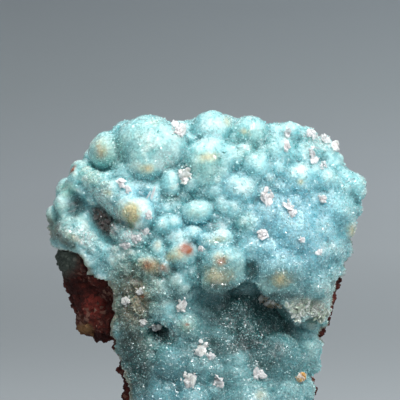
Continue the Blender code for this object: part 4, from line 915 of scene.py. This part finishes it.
def strewn(weight, count, lean, size, draw, replace=True):
    """Where the grains of one layer stand on the crust, chosen by weight, and which way they point.

    Each leans off the crust's normal by a normal draw, and its length is a log-normal one.
    """
    weight = weight[GROWN_ROWS].ravel()
    spots = draw.choice(len(weight), count // FEWER, replace=replace, p=weight / weight.sum())
    foot, up = (field[GROWN_ROWS].reshape(-1, 3)[spots] for field in (crust_surface, grid_normal))
    along = unit(up + draw.normal(0, lean, up.shape))
    across = unit(np.cross(along, draw.normal(0, 1, up.shape)))
    return spots, foot, up, along, across, draw.lognormal(math.log(size), LENGTH_SPREAD, len(foot))


def carried(spots, corners, lift):
    """The crust's masks where each grain stands, repeated for its corners, with its paleness shifted."""
    masks = {}
    for name, values in layers.items():
        values = values[:-2].reshape(crust_levels.shape)[GROWN_ROWS].ravel()
        masks[name] = np.repeat(values[spots], corners)
    masks["crest_light_and_shade"] = np.clip(masks["crest_light_and_shade"] + np.repeat(lift, corners), 0, 1)
    return masks


def with_painted_glints(masks, share, corners, draw):
    """The masks with a share of the grains painted white as glints, each by a random strength: painted
    highlight.
    """
    count = len(masks["white"]) // corners
    chosen = np.repeat(draw.random(count), corners) < share
    masks["white"] = np.maximum(masks["white"], chosen * np.repeat(draw.uniform(0.5, 1.0, count), corners))
    return masks


grain_material = hemimorphite("hemimorphite_grains", GRAIN_DEPTH, GRAIN_WHITE_AND_GLINT)

# Grains stand inside the rim, and few of the larger ones stand along the upper outline, which stays rounded.
dense = (cover(smooth_place) > 0.5) & (crust_surface[..., 2] > 0.5) & (crust_surface[..., 1] < 8)
outline = smooth_step(0.75, 0.3, -grid_normal[..., 1]) * smooth_step(30, 60, crust_surface[..., 2])
draw = np.random.default_rng(5)
weight = sugar**1.4 * dense * (1 - 0.85 * outline)
spots, foot, up, along, across, length = strewn(weight, DRUSE_GRAINS, DRUSE_LEAN, DRUSE_LENGTH, draw, False)
length = length * (1 - DEEP_SHORTER * patches(foot, PATCHES["deep"]))
width = length * draw.uniform(0.7, 1.0, len(foot))
points, faces = tents(foot - up * DRUSE_SUNK, along, across, length, width)
masks = carried(spots, 6, draw.uniform(-0.1, 0.35, len(spots)))
masks = with_painted_glints(masks, GLINT_SHARE + (DEEP_GLINT_SHARE - GLINT_SHARE) * masks["deep"], 6, draw)
make_piece("hemimorphite_druse", points, faces, grain_material, "hemimorphite", **masks)

draw = np.random.default_rng(23)
weight = sugar * dense * (0.25 + 0.75 * smooth_step(54, 42, crust_surface[..., 2]))
spots, foot, up, along, across, length = strewn(weight, FINE_GRAINS, FINE_LEAN, FINE_LENGTH, draw)
width = length * draw.uniform(0.8, 1.1, len(foot))
points, faces = pyramids(foot - up * FINE_SUNK, along, across, length, width)
masks = with_painted_glints(carried(spots, 4, draw.uniform(-0.15, 0.35, len(spots))), FINE_GLINT_SHARE, 4, draw)
make_piece("hemimorphite_fine_druse", points, faces, grain_material, "hemimorphite", **masks)

# THE CRUMBS
# Where the crust is broken it is a rubble of hemimorphite grains, 0.4 to 1.2 mm, in the colours of the crust.
# They lie loosely grown together, sunk in by a small share of their size.
CRUMBS, CRUMB_SIZE, CRUMB_SPREAD, CRUMB_SUNK = 4200, 0.6, 0.3, 0.15
draw = np.random.default_rng(17)
broken = np.maximum(patches(crust_surface, CRUMBLY), 0.5 * (1 - smooth_step(0.0, 1.6, cover(smooth_place))))
broken = (broken * dense)[GROWN_ROWS].ravel() ** 1.5
spots = draw.choice(len(broken), CRUMBS // FEWER, p=broken / broken.sum())
sizes = draw.lognormal(math.log(CRUMB_SIZE), CRUMB_SPREAD, len(spots))
foot, up = (field[GROWN_ROWS].reshape(-1, 3)[spots] for field in (crust_surface, grid_normal))
points, faces = chips(foot - up * (CRUMB_SUNK * sizes)[:, None], sizes, draw)
masks = carried(spots, len(CHIP), draw.uniform(-0.35, 0.25, len(spots)))
make_piece("hemimorphite_crumbs", points, faces, grain_material, "hemimorphite", **masks)

# THE PALE CRYSTALS
# Later, larger hemimorphite crystals: flat tablets 1 to 4 mm across in rosettes, milky white with a frosted,
# granular face, some stained pinkish or yellowish. Smaller ones fringe the ledge's torn edge.

# Rosettes: (x, z) in the front view, width and height of the tablets, roll in degrees, how many large tablets
# and how many small ones, and tint (0 white, 1 pinkish, 2 yellowish, 3 orange, 4 brown, 5 grey-green).
ROSETTES = [
    (-5.2, 68.4, 2.7, 4.2, 8, 4, 9, 2), (-6.4, 79.6, 2.4, 3, -15, 4, 10, 1),
    (-7.6, 81, 1.8, 1.8, 30, 4, 5, 0), (-20.8, 66.6, 1.2, 2.4, 40, 6, 8, 0),
    (-19.4, 65, 1, 1.8, 30, 4, 4, 0), (15.6, 63.4, 2.4, 3.8, 12, 4, 5, 1),
    (21, 60.8, 1.3, 3.2, 30, 4, 6, 0), (21.8, 59, 1.5, 1.8, -20, 4, 4, 0),
    (14.3, 53.9, 2.3, 2, 20, 6, 9, 1), (29.4, 62.9, 1.7, 1.8, 0, 2, 4, 1),
    (20.6, 79, 1.3, 2.6, -4, 6, 6, 0), (20.4, 76, 1.2, 2.2, 8, 4, 5, 1),
    (26.4, 74.4, 1.2, 2.6, 14, 4, 5, 0), (27.2, 72.4, 1.4, 1.8, -20, 4, 5, 0),
    (29.4, 71.2, 1.4, 1.6, 40, 4, 5, 0), (26.4, 79, 1.6, 1.6, -20, 6, 8, 0),
    (29.8, 77.6, 1.6, 1.5, -30, 6, 8, 0), (32.6, 75.6, 1.6, 2, 30, 6, 8, 2),
    (-5.8, 36, 2, 3.4, -25, 4, 6, 2), (-0.8, 25.2, 2.8, 3.8, 20, 4, 8, 2),
    (1.2, 23.4, 1.5, 1.4, -20, 4, 5, 0), (-3.8, 17.8, 3, 3.4, 0, 4, 12, 2),
    (3.3, 17.4, 2.4, 2.8, 10, 4, 7, 1), (13.2, 19.2, 1.8, 2.4, 0, 4, 5, 1),
    (24.2, 52.6, 1.2, 1.2, 0, 4, 3, 0), (28.2, 49.4, 1.5, 1.1, -10, 4, 5, 0),
    (-1, 50.2, 1.2, 1.2, 0, 4, 4, 0), (23.6, 18.2, 2.2, 1.8, 0, 6, 7, 3),
    (-14.2, 58.7, 1.3, 1.8, 0, 4, 4, 0), (-15, 54.6, 1.7, 1.3, 38, 6, 10, 0),
    (-17.2, 53, 1.9, 1.4, 38, 6, 12, 0), (-19.6, 51.2, 1.9, 1.4, 30, 6, 12, 0),
    (-15.4, 32, 1.6, 1.2, -28, 6, 9, 2), (-12.6, 30.8, 1.6, 1.3, -28, 6, 9, 2),
    (-19.6, 37.2, 1.8, 2, 0, 4, 6, 2), (-16, 39.6, 1.4, 1.4, 0, 4, 5, 2),
    (14.2, 37.8, 2.2, 1, -25, 4, 6, 4), (16.4, 36.9, 2.2, 1.1, -25, 4, 6, 4),
    (18.2, 36, 1.8, 0.9, -30, 4, 5, 4),
]
# Needles: (x, z), width, length, roll and lean out of the crust in degrees.
NEEDLES = [(-14.6, 63.0, 0.5, 2.8, -30, 30), (-13.6, 62.8, 0.7, 3.8, -18, 25), (13.0, 17.6, 0.4, 3.6, 0, 20)]
LEDGE_CRYSTALS, LEDGE_FROM, LEDGE_TO, LEDGE_TINT = 60, 20.0, 31.0, 5  # along the torn edge of the ledge
GRANULAR, GRANULAR_SIZE = 0.16, 0.55  # relief and size of the grain of a tablet's frosted face
LARGE_STEPS, SMALL_STEPS, LEDGE_STEPS = (7, 20), (5, 7), (7, 12)  # a tablet's grid: over the rim, round it
BLADE_SIDES, BLADE_SHOULDER, BLADE_RIDGE = 6, 0.8, 0.3  # the shoulder as a share of the length
TINTS = ["#FFFFFF", "#FAF3F0", "#F6F5EC", "#DDA95C", "#857F66", "#A9B7A6"]  # in the order of their numbers
RIM_WHITE = "#F6F9FA"  # what every tint pales to at a tablet's thin rim


def pale_crystal():
    """Milky hemimorphite: cloudy and granular, so light wanders a little way in, and glassy outside."""
    material, tree, place = new_material("hemimorphite_milky")
    stops = [(n / (len(TINTS) - 1), colour) for n, colour in enumerate(TINTS)]
    stain = shades(tree, painted(tree, "tint"), stops)
    fleck = channel(tree, grain_colours(tree, place, 0.35), 0)
    colour = times(tree, stain, spread(tree, fleck, 0.0, 1.0, 0.86, 1.1))
    white = of_vectors(tree, "MAXIMUM", stain, linear(RIM_WHITE)[:3])
    colour = blend(tree, spread(tree, painted(tree, "edge"), 0.5, 1.0, 0.0, 0.7), colour, white)
    bump = add(tree, "Bump", {"Height": fleck, "Distance": 0.08 * MM, "Strength": 0.7}).outputs[0]
    shader = add(tree, "BsdfPrincipled", {
        "Base Color": colour, "Roughness": 0.18, "IOR": 1.62, "Normal": bump, "Transmission Weight": 0.15,
        "Subsurface Weight": 0.7, "Subsurface Radius": (1.0, 1.1, 1.1), "Subsurface Scale": 0.3 * MM,
    })
    add(tree, "OutputMaterial", {"Surface": shader.outputs[0]})
    return material


def tablets(middle, up, out, wide, high, thick, steps, draw):
    """Flat crystals: a lens whose outline is the innermost of six straight edges round its middle.

    One parameter runs from the middle of the front over the rim to that of the back, the other round it.
    """
    count = len(middle)
    rings, around = steps
    out = unit(out - up * (out * up).sum(axis=-1, keepdims=True))
    side = np.cross(up, out)
    turn = np.arange(around) * 2 * math.pi / around
    edge_turn = (np.arange(6) + draw.uniform(-0.35, 0.35, (count, 6))) * math.pi / 3
    away = draw.uniform(0.72, 1.0, (count, 6))
    reach = (away[:, None] / np.maximum(np.cos(turn[:, None] - edge_turn[:, None]), 0.05)).min(axis=-1)
    share = np.linspace(0, 2, rings)[1:-1]
    from_middle = np.where(share < 1, share, 2 - share)
    rise = np.where(share < 1, 1, -1) * (1 - from_middle**6) * 0.5
    flat = reach[:, None] * from_middle[:, None]
    side, up, out_of = (way[:, None, None] for way in (side, up, out))
    points = middle[:, None, None] + side * (flat * np.cos(turn) * wide[:, None, None] / 2)[..., None]
    points = points + up * (flat * np.sin(turn) * high[:, None, None] / 2)[..., None]
    points = points + out_of * (rise[:, None] * thick[:, None, None] * np.ones(around))[..., None]
    grain = facets(points, GRANULAR_SIZE, 71)
    points = points + out_of * (GRANULAR * grain * from_middle[:, None])[..., None]
    half = out * thick[:, None] / 2
    points = [points.reshape(count, -1, 3), (middle + half)[:, None], (middle - half)[:, None]]
    points, faces = joined(np.concatenate(points, axis=1), closed_faces(rings - 2, around)[:, ::-1])
    return points, faces, np.tile(np.append(np.repeat(from_middle, around), [0, 0]), count)


def blades(foot, along, across, length, width, thickness):
    """Flat prisms with chisel tips: a ring of corners at the foot, one at the shoulder, and a short ridge.

    Along and across are unit arrays; the ridge runs across and is a share of the width.
    """
    corners = BLADE_SIDES
    third = np.cross(along, across)
    turn = (np.arange(corners) + 0.5) * 2 * math.pi / corners
    ring = across[:, None] * (np.cos(turn)[:, None] * width[:, None, None] / 2)
    ring = ring + third[:, None] * (np.sin(turn)[:, None] * thickness[:, None, None] / 2)
    rise = along * length[:, None]
    tip_half = across * (width * BLADE_RIDGE / 2)[:, None]
    base = foot[:, None] + ring
    shoulder = base + (rise * BLADE_SHOULDER)[:, None]
    ridge = np.stack([foot + rise + tip_half, foot + rise - tip_half], axis=1)
    points = np.concatenate([base, shoulder, ridge], axis=1)
    here, there = np.arange(corners), (np.arange(corners) + 1) % corners
    side = [np.stack([here, there, there + corners], axis=-1)]
    side += [np.stack([here, there + corners, here + corners], axis=-1)]
    nearest = 2 * corners + (np.cos(turn) < 0)
    cap = [np.stack([here + corners, there + corners, nearest], axis=-1)]
    change = nearest != nearest[there]
    cap += [np.stack([there + corners, nearest[there], nearest], axis=-1)[change]]
    floor = [np.stack([np.zeros(corners - 2, int), here[2:], here[1:-1]], axis=-1)]
    return joined(points, np.concatenate(side + cap + floor))


flat = crust_surface.reshape(-1, 3)
flat_normal = grid_normal.reshape(-1, 3)
front = np.flatnonzero(flat_normal[:, 1] < 0.2)


def spot_behind(x, z):
    """The crust's corner that is seen at each (x, z) from the front, and its normal."""
    shown_x, shown_z = seen(flat[front])
    away = np.hypot(shown_x - np.reshape(x, (-1, 1)), shown_z - np.reshape(z, (-1, 1)))
    spot = front[(away + 0.05 * flat[front, 1]).argmin(axis=1)]
    return flat[spot], flat_normal[spot]


draw = np.random.default_rng(8)
parts = []
for x, z, wide, high, roll, large, small, tint in ROSETTES:
    # the large tablets, one behind the other
    turn = math.radians(roll)
    up = np.array([-math.sin(turn), -0.2, math.cos(turn)]) + draw.normal(0, 0.4, (large, 3))
    foot, normal = spot_behind(x + draw.normal(0, 0.22 * wide, large), z + draw.normal(0, 0.18 * high, large))
    out = 0.6 * normal + [0, -0.6, 0] + draw.normal(0, 0.5, (large, 3))
    size = np.linspace(1.15, 0.6, large)
    middle = foot + normal * 0.25 + unit(out) * draw.uniform(0, 0.5, (large, 1))
    thick = 0.22 + 0.08 * wide * size
    parts.append((*tablets(middle, unit(up), out, wide * size, high * size, thick, LARGE_STEPS, draw), tint))

    # the small ones round them
    turn, far = draw.uniform(0, 2 * math.pi, small), draw.uniform(0.3, 0.75, small)
    foot, normal = spot_behind(x + far * wide * np.cos(turn), z + far * high * np.sin(turn))
    up = unit(normal + draw.normal(0, 0.5, (small, 3)))
    out = draw.normal(0, 1, (small, 3)) + [0, -0.8, 0]
    size = draw.uniform(0.5, 1.1, small)
    middle = foot + up * 0.25 * size[:, None]
    parts.append((*tablets(middle, up, out, 0.8 * size, size, 0.3 * size, SMALL_STEPS, draw), tint))

    # jagged bits between them
    bits = large + small
    turn, far = draw.uniform(0, 2 * math.pi, bits), np.sqrt(draw.uniform(0, 0.26, bits))
    foot, normal = spot_behind(x + far * wide * np.cos(turn), z + far * high * np.sin(turn))
    size = draw.uniform(0.3, 0.6, bits) * min(wide, 2.2)
    points, faces = chips(foot + normal * 0.4 * size[:, None], 1.5 * size, draw)
    parts.append((points, faces, np.repeat(draw.uniform(0.2, 1, bits), len(CHIP)), tint))

# tablets on the torn edge of the ledge, and blades that hang over it
count = LEDGE_CRYSTALS
at_x = draw.uniform(LEDGE_FROM, LEDGE_TO, count)
at_z = np.interp(at_x, *zip(*LEDGE)) + draw.normal(0.3, 0.5, count)
foot, normal = spot_behind(at_x, at_z)
up = unit(np.stack([draw.normal(0, 0.6, count), draw.normal(0, 0.3, count), np.ones(count)], axis=-1))
out = draw.normal(0, 0.5, (count, 3)) + [0, -1, 0]
size = draw.uniform(0.6, 1.6, count)
part = tablets(foot - [0, 0.2, 0], up, out, 0.8 * size, 1.2 * size, 0.3 * size, LEDGE_STEPS, draw)
parts.append((*part, LEDGE_TINT))
at_x = draw.uniform(LEDGE_FROM + 1.5, LEDGE_TO, count)
foot, normal = spot_behind(at_x, np.interp(at_x, *zip(*LEDGE)) + draw.uniform(0.2, 2.4, count))
along = unit(draw.normal(0, 0.3, (count, 3)) + [-0.55, -0.35, -0.8])
across = unit(np.cross(along, draw.normal(0, 0.5, (count, 3)) + [0, -1, 0]))
size = draw.uniform(0.5, 1.0, count)
points, faces = blades(foot - along * 0.6, along, across, 2.6 * size, size, 0.35 * size)
parts.append((points, faces, np.repeat(draw.uniform(0, 0.9, count), len(points) // count), LEDGE_TINT))

# the needles
x, z, wide, high, roll, lean = np.array(NEEDLES).T
foot, normal = spot_behind(x, z)
roll, lean = np.radians(roll), np.radians(lean)
along = np.stack([-np.sin(roll) * np.cos(lean), -np.sin(lean), np.cos(roll) * np.cos(lean)], axis=-1)
across = unit(np.cross(along, [0, -1, 0]))
points, faces = blades(foot - along * 0.3, along, across, high, wide, wide * 0.5)
parts.append((points, faces, np.full(len(points), 1.0), 0))

start = np.cumsum([0] + [len(part[0]) for part in parts[:-1]])
faces = np.concatenate([part[1] + first for part, first in zip(parts, start)])
points, edge = (np.concatenate([part[n] for part in parts]) for n in (0, 2))
tint = np.concatenate([np.full(len(part[0]), part[3] / (len(TINTS) - 1)) for part in parts])
make_piece("pale_crystals", points, faces, pale_crystal(), "hemimorphite", tint=tint, edge=edge)

# THE STUDIO
# Not part of the specimen: a seamless grey sweep, a large soft light in front and one above, four small ones
# that make the druse glint, and the long lens.
SWEEP_FLAT, SWEEP_RADIUS, SWEEP_HEIGHT, SWEEP_POWER, SWEEP_BELOW = 0.12, 1.6, 1.9, 4.5, 0.0002
PAPER_PAINTED_LIGHT = [(0.23, "#91979A"), (0.37, "#9DA3A6"), (0.5, "#9BA1A5"), (0.74, "#8D9497"), (0.97, "#82898D")]
LIGHT_AIM = (0, 0, 0.045)
LENS, SENSOR = 216.0, 36.0
ROOM_LIGHT, ROOM_STRENGTH = "#E6E8EA", 1.1


def sweep():
    """A bowl of paper: flat under the specimen, then rising by a power of the distance up to a wall."""
    turn = np.linspace(0, 2 * math.pi, 96, endpoint=False)
    radius = np.concatenate([[0.02], np.linspace(SWEEP_FLAT, SWEEP_RADIUS, 60)])
    out = (radius - SWEEP_FLAT).clip(0) / (SWEEP_RADIUS - SWEEP_FLAT)
    height = SWEEP_HEIGHT * out**SWEEP_POWER - SWEEP_BELOW
    x, y = np.outer(radius, np.cos(turn)), np.outer(radius, np.sin(turn))
    points = np.stack([x, y, np.broadcast_to(height[:, None], x.shape)], axis=-1).reshape(-1, 3)
    index = np.arange(len(radius) * len(turn)).reshape(len(radius), len(turn))
    beside = np.roll(index, -1, axis=1)
    quads = np.stack([index[:-1], index[1:], beside[1:], beside[:-1]], axis=-1).reshape(-1, 4)
    mesh = bpy.data.meshes.new("sweep")
    mesh.from_pydata(points.tolist(), [], quads.tolist() + [index[0].tolist()])
    mesh.shade_smooth()
    material, tree, place = new_material("studio_paper")
    across, high = (add(tree, "SeparateXYZ", {0: place}).outputs[axis] for axis in ("X", "Z"))
    # the paper is painted darker up the wall and lighter towards the right: painted light falloff
    colour = shades(tree, spread(tree, high, -60.0, 200.0), PAPER_PAINTED_LIGHT)
    colour = times(tree, colour, spread(tree, across, -120.0, 120.0, 0.9, 1.1))
    shader = add(tree, "BsdfPrincipled", {"Base Color": colour, "Roughness": 0.9})
    add(tree, "OutputMaterial", {"Surface": shader.outputs[0]})
    mesh.materials.append(material)
    piece = bpy.data.objects.new("sweep", mesh)
    bpy.context.scene.collection.objects.link(piece)


def soft_light(name, place, size, energy):
    """A square soft white light that faces the specimen and isn't seen itself."""
    light = bpy.data.lights.new(name, "AREA")
    light.size, light.energy = size, energy
    lamp = bpy.data.objects.new(name, light)
    lamp.location = place
    lamp.rotation_euler = (Vector(LIGHT_AIM) - Vector(place)).to_track_quat("-Z", "Y").to_euler()
    lamp.visible_camera = False
    bpy.context.scene.collection.objects.link(lamp)


sweep()
soft_light("key", (0.34, -0.68, 0.68), 0.45, 8.5)
soft_light("top", (-0.1, -0.2, 1.2), 0.8, 6.0)
for n, place in enumerate([(-0.5, -0.6, 0.6), (0.3, -0.75, 0.7), (0.55, -0.4, 0.85), (-0.1, -0.9, 0.3)]):
    soft_light(f"spark_{n}", place, 0.05, 0.3)
world = bpy.data.worlds.new("room")
world.use_nodes = True
room = world.node_tree.nodes["Background"].inputs
room["Color"].default_value, room["Strength"].default_value = linear(ROOM_LIGHT), ROOM_STRENGTH
bpy.context.scene.world = world
bpy.context.scene.view_settings.view_transform = "Standard"

lens = bpy.data.cameras.new("lens")
lens.lens, lens.sensor_width = LENS, SENSOR
camera = bpy.data.objects.new("camera", lens)
camera.location = ((VIEW_MIDDLE[0] - BOX_MIDDLE[0]) * MM, -VIEW_DISTANCE * MM, VIEW_MIDDLE[1] * MM)
camera.rotation_euler = (math.pi / 2, 0, 0)
bpy.context.scene.collection.objects.link(camera)
bpy.context.scene.camera = camera
